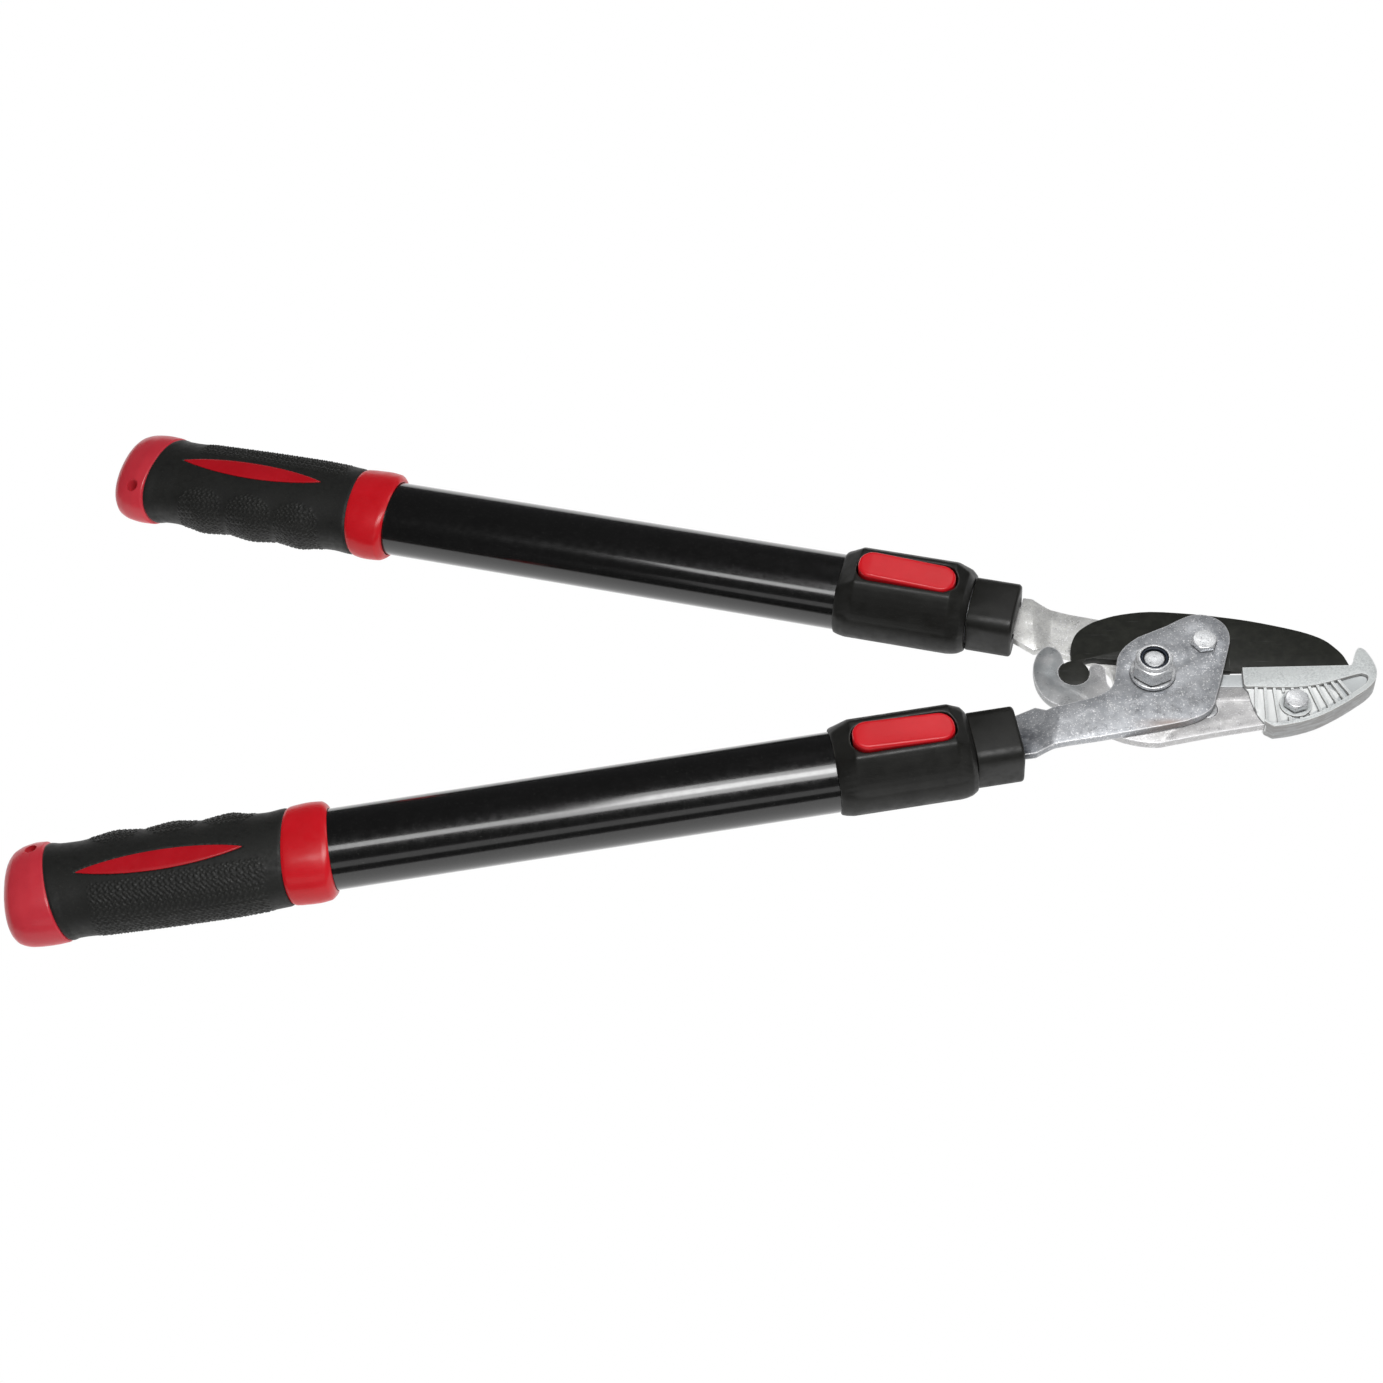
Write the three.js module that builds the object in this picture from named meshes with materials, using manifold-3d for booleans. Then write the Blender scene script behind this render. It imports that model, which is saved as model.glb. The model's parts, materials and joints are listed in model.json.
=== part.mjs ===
// Telescopic anvil loppers with compound (four-bar) jaw action, jaws closed, handles retracted.
// Millimetres, +Z up. The tool lies flat. The origin is on the main pivot's axis, on the outer face
// of the main bolt's head, and +X points along the tool towards the jaws.
import * as THREE from 'three';
import { mergeVertices } from 'three/addons/utils/BufferGeometryUtils.js';
import Module from 'manifold-3d';

const wasm = await Module();
wasm.setup();

// ---------- driving dimensions ----------

const GAP = 0.3;                    // clearance between touching pieces
const AXIS_HEIGHT = 16.5;           // handle axes and blade mid-plane above the resting surface

// head: plan positions of the four pivots of the linkage
const TAIL_PIVOT = [-35.3, 3.7];    // blade knob in the anvil arm's hook
const BLADE_PIVOT = [24.3, 18.3];   // lower plate to blade
const ARM_PIVOT = [24.0, -16.8];    // upper plate to anvil arm
const MAIN_PIVOT = [0, 0];          // upper plate to lower plate

// head: layers, measured from the blade's mid-plane
const BLADE_HALF = 2.0;
const PLATE = 4.0;
const PLATE_IN = BLADE_HALF + GAP;
const PLATE_OUT = PLATE_IN + PLATE;
const TANG_DROP = 3.3;              // offset of each plate's tang towards the handle axis
const TANG_BEND_X = [-45.5, -53.5];
const JOGGLE_BLOCK = [-140, 60, 100];   // X range and Y reach of the joggled block a plate is cut from

// head: radii
const KNOB_R = 7.0;
const SOCKET_R = KNOB_R + GAP;
const MAIN_BOLT_R = 5.0;
const LOOSE_HOLE_R = 6.2;           // lower plate's slack hole, which lets the linkage close
const SPACER_R = 7.5;
const RIVET_R = 4.0;
const RIVET_FLATS = 10.5;
const ARM_PIN_R = 4.6;
const ARM_PIN_FLATS = 12;
const PIN_HEAD = 2.8;
const FLUSH = 0.1;                  // riveted ends stop this far below the face they lie in
const ANVIL_BOLT = [63.5, -14.6];
const ANVIL_BOLT_R = 3.0;
const ANVIL_FLATS = 10;
const ANVIL_HEAD = 4.0;

// head: fasteners on the main pivot
const WASHER_R = 10.4;
const BOLT_FLATS = 16;
const BOLT_END_DROP = 1.2;          // the bolt's end lies this far inside the nut's top
const NUT_FLATS = 17;
const NUT_NECK_R = 8.0;
const LOCK_RING_R = 6.2;
const FRONT_WASHER = [PLATE_OUT + GAP, PLATE_OUT + GAP + 2.0];
const BACK_WASHER = [-PLATE_OUT - GAP - 2.3, -PLATE_OUT - GAP];
const NUT_BASE = FRONT_WASHER[1] + GAP;
const NUT_HEX = 8.0;
const NUT_HEIGHT = 10.0;

// anvil casting
const JAW_HALF = 5.0;
const PANEL_Z = 3.0;
const BOSS_Z = 4.2;
const BOSS_R = 7.2;
const RIB_SIZE = [40, 1.3, 4];
const RIB_TOP = 4.6;
const RIB_GAP = 0.8;                // between the ribs' ends and the boss
const RIB_START = [46.2, -9];
const RIB_COUNT = 11;
const RIB_PITCH = 4.2;
const RIB_TILT = [86, 3.4];         // degrees, and degrees more for each rib towards the claw

// cutting edge: ground from both faces over EDGE_WIDTH, down to EDGE_HALF at the edge
const EDGE_WIDTH = 8;
const EDGE_HALF = 0.35;
const EDGE_START = [36, 5.0];
const EDGE_END = [92, 7.57];

// handles: each axis is turned by HANDLE_ANGLE from -X and starts HANDLE_OFFSET from the centre line
const HANDLE_ANGLE = THREE.MathUtils.degToRad(11.65);
const HANDLE_OFFSET = 23.16;

// stations along a handle axis, from the head outwards
const FERRULE = [62.6, 84.2];
const PLUG_END = 118;
const TONGUE_START = 62;
const TONGUE_END = 100;
const TONGUE_Y = [-8.6, 8];
const INNER_TUBE = [84.5, 478];
const BUSH = [466, 478];
const HOUSING = [84.5, 147.3];
const OUTER_TUBE = [129.0, 500.6];
const TUBE_SOCKET = OUTER_TUBE[0] - GAP;
const SCREW_S = HOUSING[1] - 9;
const COLLAR = [376.3, 396.0];
const GRIP = [396.3, 501.0];
const LENS = [413.5, 490];
const LENS_HALF = 5.7;
const LENS_Y = 2.3;
const LENS_STEPS = 10;
const CAP = [501.3, 523.5];
const CAP_PLUG = 489;
const HANG_HOLE = [510.5, -16.6];
const HANG_HOLE_R = 2.8;
const ROLL_PINS = [90, 108];
const ROLL_PIN_R = 2.5;
const LOCK_PIN_S = 99;
const LOCK_PIN_R = 2.5;
const LOCK_PIN_TOP = 20.6;
const LOCK_HOLE_R = 3.3;
const LOCK_PITCH = 60;
const LOCK_HOLES = 6;

// handle sections: half width (in plan) and half height
const FERRULE_SIZE = [15.4, 12.4, 6];
const PLUG_OVAL = [13.3, 10.3];
const INNER_OVAL = [15.0, 12.0];
const INNER_WALL = 1.4;
const OUTER_OVAL = [19.6, 15.0];
const OUTER_WALL = 1.5;

// skins: [station from the piece's start, outer half width, inner half width, half height]
const HOUSING_SKIN = [
  [0, 19.6, 19.6, 14.4],
  [3, 21.6, 21.6, 15.6],
  [8, 22.6, 22.6, 16.2],
  [56.8, 22.6, 22.6, 16.2],
  [60.8, 21.8, 21.8, 15.9],
  [62.8, 20.9, 20.9, 15.7],
];
const COLLAR_SKIN = [
  [0, 21.8, 21.8, 15.9],
  [3, 24.6, 24.4, 16.3],
  [9, 25.2, 24.8, AXIS_HEIGHT],
  [15, 24.9, 24.4, 16.4],
  [19.7, 24.6, 24.0, 16.1],
];
const GRIP_SKIN = [
  [0, 24.6, 23.6, 16.1],
  [7.7, 25.0, 22.6, 16.2],
  [15.7, 25.4, 23.2, 16.3],
  [24.7, 25.7, 25.4, 16.4],
  [37.7, 25.6, 24.0, 16.4],
  [50.7, 25.4, 25.7, 16.4],
  [63.7, 25.0, 24.2, 16.4],
  [76.7, 24.6, 25.6, 16.3],
  [85.7, 24.2, 23.9, 16.2],
  [93.7, 23.8, 22.9, 16.0],
  [99.7, 23.9, 23.2, 16.0],
  [104.7, 24.7, 24.4, 16.1],
];
const CAP_SKIN = [
  [0, 25.3, 25.6, 16.2],
  [6, 25.8, 25.9, 16.3],
  [12, 25.2, 25.3, 15.7],
  [17, 23.2, 23.3, 14.4],
  [20.5, 19.4, 19.4, 12.0],
  [22.2, 14.6, 14.6, 9.2],
];
const INLAY_DEPTH = 0.4;
const INLAY_PROUD = 0.2;
const RECESS_DEPTH = 0.7;

// lock button
const BUTTON_S = 115.2;
const BUTTON_LENGTH = 46.3;
const BUTTON_WIDTH = 15.5;
const BUTTON_CORNER = 7;
const BUTTON_BASE = 18.2;
const BUTTON_FRONT_TOP = 22.9;
const BUTTON_REAR_TOP = 25.6;
const HINGE_Z = 17.8;
const HINGE_R = 1.5;
const PLATFORM_Z = 22.5;
const PLATFORM_HALF = 9.9;
const POCKET_FLOOR = 13.9;
const POCKET_END_GAP = 0.9;
const HUB_R = 3.2;                  // button's bearing hub, with a window of SPRING_HALF for the spring
const HUB_HALF = 7.4;
const SPRING_HALF = 3.2;
const PIN_HALF = 11.5;

// saddle of the lock housing: [station from its start, top, flat half width, side half width, side foot]
const SADDLE_FOOT = [15, -5];
const SADDLE = [
  [0, 14.4, 8.2, 18.6, 5],
  [2.4, 18.4, 9.1, 20.4, 5.6],
  [8.5, PLATFORM_Z, PLATFORM_HALF, 21.2, 5.8],
  [54, PLATFORM_Z, PLATFORM_HALF, 21.2, 5.8],
  [61.8, 16.4, 9.7, 20.4, 5.2],
  [62.8, 15.4, 9.4, 20, 5],
];

// housing screw: the head lies in a counterbore on the underside
const SCREW_HEAD_R = 2.7;
const SCREW_R = 1.6;
const SCREW_HEAD = [-16.1, -15.4];
const SCREW_TIP = -12.9;

// button spring: TURNS coils on the hinge pin, with one leg along the pocket floor each way
const TURNS = 3;
const COIL_R = 2.45;
const WIRE_R = 0.4;
const COIL_PITCH = 1.15;
const LEG = 7;
const LEG_RISE = 0.7;
const LEG_DROP = 0.4;
const COIL_STEPS = 8;
const WIRE_STEPS = 28;

// tessellation
const OVAL_SIDES = 32;
const HOLE_SIDES = 12;
const ROUND_SIDES = 24;
const STEPS_PER_POINT = 3;
const THROUGH = 20;                 // reach of a tool that passes right through a piece

// ---------- materials ----------

function material(color, roughness, metalness) {
  return new THREE.MeshStandardMaterial({ color, roughness, metalness });
}

const ZINC = material(0xb4b6b8, 0.38, 0.9);
const BRIGHT_STEEL = material(0xc6c8ca, 0.28, 1.0);
const CAST_METAL = material(0xc4c7c8, 0.55, 0.8);
const COATED_STEEL = material(0x262622, 0.5, 0.25);
const TUBE_PAINT = material(0x16170f, 0.22, 0.1);
const INNER_METAL = material(0xbfc2c4, 0.35, 0.9);
const BLACK_PLASTIC = material(0x26271f, 0.5, 0.0);
const RUBBER = material(0x2a2a26, 0.8, 0.0);
const RED_PLASTIC = material(0xc4262e, 0.4, 0.0);
const NYLON = material(0x1d2733, 0.5, 0.0);

// ---------- solids ----------

function solid(geometry) {
  const bare = geometry.clone();
  for (const name of Object.keys(bare.attributes)) {
    if (name !== 'position') bare.deleteAttribute(name);
  }
  const merged = mergeVertices(bare, 1e-4);
  return new wasm.Manifold(new wasm.Mesh({
    numProp: 3,
    vertProperties: new Float32Array(merged.attributes.position.array),
    triVerts: new Uint32Array(merged.index.array),
  }));
}

function geometryOf(body) {
  const mesh = body.getMesh();
  const geometry = new THREE.BufferGeometry();
  geometry.setAttribute('position', new THREE.BufferAttribute(new Float32Array(mesh.vertProperties), 3));
  geometry.setIndex(new THREE.BufferAttribute(new Uint32Array(mesh.triVerts), 1));
  geometry.computeVertexNormals();
  return geometry;
}

function named(name, body, surface) {
  const mesh = new THREE.Mesh(geometryOf(body), surface);
  mesh.name = name;
  return mesh;
}

function cut(body, ...tools) {
  return tools.reduce((result, tool) => result.subtract(tool), body);
}

function join(...bodies) {
  return bodies.reduce((result, body) => result.add(body));
}

function prism(shape, bottom, top) {
  const geometry = new THREE.ExtrudeGeometry(shape, { depth: top - bottom, bevelEnabled: false });
  geometry.translate(0, 0, bottom);
  return solid(geometry);
}

function chamferedPrism(shape, bottom, top, chamfer) {
  const geometry = new THREE.ExtrudeGeometry(shape, {
    depth: top - bottom - 2 * chamfer,
    bevelEnabled: true,
    bevelThickness: chamfer,
    bevelSize: chamfer,
    bevelOffset: -chamfer,
    bevelSegments: 1,
  });
  geometry.translate(0, 0, bottom + chamfer);
  return solid(geometry);
}

function box(x0, x1, y0, y1, z0, z1) {
  const geometry = new THREE.BoxGeometry(x1 - x0, y1 - y0, z1 - z0);
  geometry.translate((x0 + x1) / 2, (y0 + y1) / 2, (z0 + z1) / 2);
  return solid(geometry);
}

// round bar along Z, with a chamfer at each end
function roundBar([x, y], radius, bottom, top, { chamfer = 0, sides = ROUND_SIDES } = {}) {
  const profile = [new THREE.Vector2(0, bottom)];
  if (chamfer > 0) profile.push(new THREE.Vector2(radius - chamfer, bottom));
  profile.push(new THREE.Vector2(radius, bottom + chamfer));
  profile.push(new THREE.Vector2(radius, top - chamfer));
  if (chamfer > 0) profile.push(new THREE.Vector2(radius - chamfer, top));
  profile.push(new THREE.Vector2(0, top));
  const geometry = new THREE.LatheGeometry(profile, sides);
  geometry.rotateX(Math.PI / 2);
  geometry.translate(x, y, 0);
  return solid(geometry);
}

// round bar along the handle frame's Y
function crossBar(s, z, radius, y0, y1, sides = HOLE_SIDES) {
  const geometry = new THREE.CylinderGeometry(radius, radius, y1 - y0, sides);
  geometry.translate(s, (y0 + y1) / 2, z);
  return solid(geometry);
}

// ring of rectangular section along Z
function ring([x, y], inner, outer, bottom, top, chamfer = 0) {
  const profile = [
    new THREE.Vector2(inner, bottom),
    new THREE.Vector2(outer - chamfer, bottom),
    new THREE.Vector2(outer, bottom + chamfer),
    new THREE.Vector2(outer, top - chamfer),
    new THREE.Vector2(outer - chamfer, top),
    new THREE.Vector2(inner, top),
    new THREE.Vector2(inner, bottom),
  ];
  const corners = profile.filter((point, i) => i === 0 || point.distanceTo(profile[i - 1]) > 1e-6);
  const geometry = new THREE.LatheGeometry(corners, ROUND_SIDES);
  geometry.rotateX(Math.PI / 2);
  geometry.translate(x, y, 0);
  return solid(geometry);
}

// hexagon head along Z whose end corners are turned off at 30 degrees
function hexHead([x, y], flats, bottom, top, { turnBottom = false, turnTop = true, angle = 0 } = {}) {
  const hexagon = new THREE.Shape();
  const corner = flats / Math.sqrt(3);
  for (let i = 0; i < 6; i++) {
    const turn = angle + i * Math.PI / 3;
    const point = [x + corner * Math.cos(turn), y + corner * Math.sin(turn)];
    if (i === 0) hexagon.moveTo(...point);
    else hexagon.lineTo(...point);
  }
  hexagon.closePath();
  const face = flats / 2 * 0.97;
  const slope = Math.tan(Math.PI / 6);
  const rise = (corner + 1 - face) * slope;
  const profile = [new THREE.Vector2(0, bottom)];
  if (turnBottom) profile.push(new THREE.Vector2(face, bottom));
  profile.push(new THREE.Vector2(corner + 1, turnBottom ? bottom + rise : bottom));
  profile.push(new THREE.Vector2(corner + 1, turnTop ? top - rise : top));
  if (turnTop) profile.push(new THREE.Vector2(face, top));
  profile.push(new THREE.Vector2(0, top));
  const turned = new THREE.LatheGeometry(profile, ROUND_SIDES);
  turned.rotateX(Math.PI / 2);
  turned.translate(x, y, 0);
  return prism(hexagon, bottom, top).intersect(solid(turned));
}

// closed skin through sections of equal point count; each section is { s, points: [[y, z], ...] }
function loft(sections) {
  const count = sections[0].points.length;
  const positions = [];
  const triangles = [];
  for (const { s, points } of sections) {
    for (const [y, z] of points) positions.push(s, y, z);
  }
  for (let row = 0; row < sections.length - 1; row++) {
    for (let i = 0; i < count; i++) {
      const a = row * count + i;
      const b = row * count + (i + 1) % count;
      triangles.push(a, b, b + count, a, b + count, a + count);
    }
  }
  const last = sections.length - 1;
  for (const [row, flip] of [[0, true], [last, false]]) {
    const middle = positions.length / 3;
    positions.push(sections[row].s, 0, 0);
    for (let i = 0; i < count; i++) {
      const a = row * count + i;
      const b = row * count + (i + 1) % count;
      if (flip) triangles.push(middle, b, a);
      else triangles.push(middle, a, b);
    }
  }
  const geometry = new THREE.BufferGeometry();
  geometry.setAttribute('position', new THREE.Float32BufferAttribute(positions, 3));
  geometry.setIndex(triangles);
  return solid(geometry);
}

// oval section; outer is the half width on the +Y side and inner on the -Y side
function oval(outer, inner, half, power = 2.15) {
  const points = [];
  for (let i = 0; i < OVAL_SIDES; i++) {
    const turn = 2 * Math.PI * i / OVAL_SIDES;
    const c = Math.cos(turn);
    const d = Math.sin(turn);
    const width = c > 0 ? outer : inner;
    points.push([
      width * Math.sign(c) * Math.abs(c) ** (2 / power),
      half * Math.sign(d) * Math.abs(d) ** (2 / power),
    ]);
  }
  return points;
}

// closed skin over rows of [station, outer, inner, half], swollen by extra
function skin(start, rows, extra = 0) {
  return loft(rows.map(([s, outer, inner, half]) => ({
    s: start + s,
    points: oval(outer + extra, inner + extra, half + extra),
  })));
}

function ovalBar([width, half], start, end) {
  return loft([start, end].map((s) => ({ s, points: oval(width, width, half) })));
}

function ovalTube(outer, inner, start, end) {
  return cut(ovalBar(outer, start, end), ovalBar(inner, start - 1, end + 1));
}

function lesser([width, half], amount) {
  return [width - amount, half - amount];
}

// rounded rectangle section in the handle frame's YZ plane
function roundedSection(width, half, radius, perCorner = 5) {
  const points = [];
  const centres = [[1, 1], [-1, 1], [-1, -1], [1, -1]];
  centres.forEach(([cy, cz], quarter) => {
    for (let i = 0; i < perCorner; i++) {
      const turn = (quarter + i / (perCorner - 1)) * Math.PI / 2;
      points.push([
        cy * (width - radius) + radius * Math.cos(turn),
        cz * (half - radius) + radius * Math.sin(turn),
      ]);
    }
  });
  return points;
}

function roundedRectangle(x, y, length, width, radius) {
  const shape = new THREE.Shape();
  const l = length / 2 - radius;
  const w = width / 2 - radius;
  arc(shape, [x + l, y - w], radius, -90, 0);
  arc(shape, [x + l, y + w], radius, 0, 90);
  arc(shape, [x - l, y + w], radius, 90, 180);
  arc(shape, [x - l, y - w], radius, 180, 270);
  shape.closePath();
  return shape;
}

// ---------- outlines of the head's plates ----------

// point in plan at station s and outward offset t of the handle on the given side (+1 upper, -1 lower)
function onHandle(side, s, t) {
  const c = Math.cos(HANDLE_ANGLE);
  const d = Math.sin(HANDLE_ANGLE);
  return [-s * c + t * d, side * (s * d + t * c + HANDLE_OFFSET)];
}

function vectors(points) {
  return points.map(([x, y]) => new THREE.Vector2(x, y));
}

function lines(shape, points) {
  for (const [x, y] of points) shape.lineTo(x, y);
}

function curve(shape, points) {
  const spline = new THREE.SplineCurve([shape.currentPoint.clone(), ...vectors(points)]);
  const samples = spline.getPoints(points.length * STEPS_PER_POINT);
  for (const point of samples.slice(1)) shape.lineTo(point.x, point.y);
}

// arc whose angles are in degrees; a shape that is still empty starts at the arc's first point
function arc(shape, [x, y], radius, from, to) {
  const steps = Math.ceil(Math.abs(to - from) / 360 * ROUND_SIDES);
  for (let i = 0; i <= steps; i++) {
    const turn = THREE.MathUtils.degToRad(from + (to - from) * i / steps);
    const point = [x + radius * Math.cos(turn), y + radius * Math.sin(turn)];
    if (i === 0 && shape.curves.length === 0 && shape.currentPoint.length() === 0) shape.moveTo(...point);
    else shape.lineTo(...point);
  }
}

// handle plate: a tang at the handle, a round boss at the main pivot and a lobe at the far pivot
function plateShape(side, { tang, outerEdge, lobe }) {
  const at = (x, y) => [x, -side * y];
  const shape = new THREE.Shape();
  const [inner, outer] = TONGUE_Y;
  shape.moveTo(...onHandle(side, TONGUE_END, inner));
  lines(shape, [onHandle(side, TONGUE_START, inner), onHandle(side, TONGUE_START, tang[0])]);
  lines(shape, [at(-53.5, -17.6), at(-48.5, -20.4), at(-41.7, -18.5)]);
  curve(shape, [at(-33.4, -15.7), at(-24.5, -12.4), at(-18.6, -7.5), at(-16.7, 0), at(-15.4, 9.4),
    at(-11.7, 16), at(-5.8, 21.4)]);
  lines(shape, [at(...lobe[0])]);
  curve(shape, lobe.slice(1).map(([x, y]) => at(x, y)));
  lines(shape, [at(31.7, 1.2), at(27.9, -13)]);
  curve(shape, [at(25.8, -18.8), at(21.1, -23.2), at(13.6, -26.6)]);
  curve(shape, outerEdge.map(([x, y]) => at(x, y)));
  lines(shape, [onHandle(side, TONGUE_START, tang[1]), onHandle(side, TONGUE_START, outer)]);
  lines(shape, [onHandle(side, TONGUE_END, outer)]);
  shape.closePath();
  return shape;
}

// side view of a handle plate: flat at the head and joggled towards the handle axis at the tang
function joggle(side) {
  const [bendStart, bendEnd] = TANG_BEND_X;
  const sign = -side;
  const inner = sign * PLATE_IN;
  const outer = sign * PLATE_OUT;
  const drop = -sign * TANG_DROP;
  const [rear, front, reach] = JOGGLE_BLOCK;
  const points = [
    [front, inner], [bendStart, inner], [bendEnd, inner + drop], [rear, inner + drop],
    [rear, outer + drop], [bendEnd, outer + drop], [bendStart, outer], [front, outer],
  ];
  const shape = new THREE.Shape(vectors(points));
  const geometry = new THREE.ExtrudeGeometry(shape, { depth: 2 * reach, bevelEnabled: false });
  geometry.rotateX(Math.PI / 2);
  geometry.translate(0, reach, 0);
  return solid(geometry);
}

function bladeShape() {
  const shape = new THREE.Shape();
  shape.moveTo(-29.6, 11.6);
  lines(shape, [[-26.5, 12.3], [-16, 11.6], [-8, 11.2], [0, 11.2], [8, 9.6], [14, 6.2], [28, 5.3]]);
  lines(shape, [[41, 5.6], [90.2, 7.5], [90.2, 9.6]]);
  curve(shape, [[87.6, 14.9], [84.3, 19.4], [79.6, 24.1], [72, 28], [62, 31.2], [46.8, 35], [32.9, 37.4],
    [18.9, 39.2], [1.1, 40.3], [-12.5, 38.5], [-21.4, 35.7], [-28, 32.3], [-33.4, 27.3], [-36, 21.1],
    [-36.6, 16], [-36.4, 12]]);
  arc(shape, TAIL_PIVOT, KNOB_R, 99, 414);
  shape.closePath();
  return shape;
}

function armShape() {
  const shape = new THREE.Shape();
  shape.moveTo(-28.3, 6);
  curve(shape, [[-27.5, 7.6], [-25.5, 8.7], [-23.1, 8.2], [-21.4, 6.2], [-20.8, 2.7], [-20.4, -2.1],
    [-18.6, -5.5]]);
  lines(shape, [[-13, -10], [0, -13], [10, -10.5], [20, -4.3], [78, -4.3], [84, -8]]);
  lines(shape, [[80, -12.9], [70, -18.9], [57, -23.3], [49.6, -25], [26.7, -29.8]]);
  curve(shape, [[7.2, -34.6], [0.8, -36], [-7.6, -35.2], [-13.8, -33.6]]);
  lines(shape, [[-24, -29.4], [-34.5, -20.6]]);
  curve(shape, [[-41.8, -15.6], [-46.3, -13.3], [-50, -9.2], [-52.7, -3.5], [-54, 4], [-53.6, 9.4],
    [-51.4, 15.2], [-47.7, 18.9], [-44.4, 18.3], [-41.9, 16.2], [-40.6, 13.4], [-40.1, 11]]);
  arc(shape, TAIL_PIVOT, SOCKET_R, 128, 378);
  shape.closePath();
  return shape;
}

function jawShape() {
  const shape = new THREE.Shape();
  shape.moveTo(41, 5.2);
  lines(shape, [[89.9, 7.1]]);
  curve(shape, [[90.9, 9.2], [92.1, 13.6], [93.4, 16.4], [95, 17.3], [97.2, 15.5], [99.9, 10], [101.1, 4.2],
    [100.2, -0.7], [96.8, -5.3], [91.5, -9.8], [82.6, -16.4], [72, -22.7], [61.4, -26.4], [53, -28]]);
  lines(shape, [[49.5, -25.8]]);
  curve(shape, [[46.3, -20.5], [44, -13], [43.1, -7.2]]);
  lines(shape, [[41.1, -4.3], [41, 5.2]]);
  shape.closePath();
  return shape;
}

// tab of the casting that lies along the top of the arm
function tabShape() {
  return new THREE.Shape(vectors([[28.5, 3], [46, 3.4], [46, -4], [30, -4]]));
}

function armSlotShape() {
  return new THREE.Shape(vectors([[20, -4], [78.1, -4], [84.5, -7.9], [80.2, -13.2], [70.2, -19.2],
    [57.1, -23.6], [49.6, -25.3], [30, -29.4]]));
}

// sunken panel, open at the casting's heel
function panelShape() {
  const shape = new THREE.Shape();
  shape.moveTo(38, -5.6);
  lines(shape, [[45.6, -5.6]]);
  curve(shape, [[58, -5.9], [66, -5.5], [74, -4.1], [82, -1.6], [89, 1], [94, 2.6]]);
  curve(shape, [[96.8, 1.2], [95.8, -3], [89.6, -8.4], [80.8, -15.1], [71.3, -20.8], [61.4, -24.6],
    [54, -26]]);
  lines(shape, [[49.4, -24.4], [38, -24.4]]);
  shape.closePath();
  return shape;
}

// ---------- head ----------

function hole(centre, radius, sides = ROUND_SIDES) {
  return roundBar(centre, radius, -THROUGH, THROUGH, { sides });
}

function anvilBoltHole() {
  return hole(ANVIL_BOLT, ANVIL_BOLT_R + GAP, HOLE_SIDES);
}

function anvilArm() {
  const body = prism(armShape(), -BLADE_HALF, BLADE_HALF);
  return named('anvil_arm', cut(body, hole(ARM_PIVOT, ARM_PIN_R + GAP), anvilBoltHole()), ZINC);
}

// sunken panel as a cutting tool, which spares the bolt's boss and a fan of ribs: upright at the heel,
// slanted at the claw, and stopping short of the boss
function panelCut() {
  const [, , height] = RIB_SIZE;
  const ribs = Array.from({ length: RIB_COUNT }, (_, i) => {
    const rib = new THREE.BoxGeometry(...RIB_SIZE);
    rib.rotateZ(THREE.MathUtils.degToRad(RIB_TILT[0] + RIB_TILT[1] * i));
    rib.translate(RIB_START[0] + RIB_PITCH * i, RIB_START[1], RIB_TOP - height / 2);
    return cut(solid(rib), roundBar(ANVIL_BOLT, BOSS_R + RIB_GAP, 0, THROUGH));
  });
  const boss = roundBar(ANVIL_BOLT, BOSS_R, 0, BOSS_Z);
  return cut(prism(panelShape(), PANEL_Z, JAW_HALF + 1), boss, ...ribs);
}

function anvilJaw() {
  let body = prism(jawShape(), -JAW_HALF, JAW_HALF);
  body = join(body, prism(tabShape(), -BLADE_HALF, BLADE_HALF));
  const plainPanel = prism(panelShape(), -JAW_HALF - 1, -PANEL_Z);
  body = cut(body, panelCut(), cut(plainPanel, roundBar(ANVIL_BOLT, BOSS_R, -BOSS_Z, 0)));
  body = cut(body, prism(armSlotShape(), -BLADE_HALF - GAP, BLADE_HALF + GAP));
  return named('anvil_jaw', cut(body, anvilBoltHole()), CAST_METAL);
}

function anvilFasteners() {
  const seat = BOSS_Z + GAP;
  const head = hexHead(ANVIL_BOLT, ANVIL_FLATS, seat, seat + ANVIL_HEAD, { angle: 0.35 });
  const shankEnd = -seat - ANVIL_HEAD - 0.6;
  const bolt = join(head, roundBar(ANVIL_BOLT, ANVIL_BOLT_R, shankEnd, seat + 1, { sides: HOLE_SIDES }));
  const turned = { turnBottom: true, turnTop: false, angle: 0.1 };
  const nut = cut(hexHead(ANVIL_BOLT, ANVIL_FLATS, -seat - ANVIL_HEAD, -seat, turned), anvilBoltHole());
  return [named('anvil_bolt', bolt, BRIGHT_STEEL), named('anvil_nut', nut, BRIGHT_STEEL)];
}

function edgeGrind(face) {
  const start = new THREE.Vector2(...EDGE_START);
  const end = new THREE.Vector2(...EDGE_END);
  const run = end.clone().sub(start);
  const length = run.length();
  const above = BLADE_HALF + 1;
  const wedge = new THREE.Shape(vectors([
    [-1, EDGE_HALF], [0, EDGE_HALF], [EDGE_WIDTH, BLADE_HALF], [EDGE_WIDTH, above], [-1, above],
  ]));
  const geometry = new THREE.ExtrudeGeometry(wedge, { depth: length, bevelEnabled: false });
  const along = new THREE.Vector3(run.x, run.y, 0).normalize();
  const up = new THREE.Vector3(-along.y, along.x, 0);
  const out = new THREE.Vector3(0, 0, 1);
  geometry.applyMatrix4(new THREE.Matrix4().makeBasis(up, out, along).setPosition(start.x, start.y, 0));
  if (face < 0) geometry.rotateX(Math.PI).scale(1, -1, 1);
  return solid(face < 0 ? flipped(geometry) : geometry);
}

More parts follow.
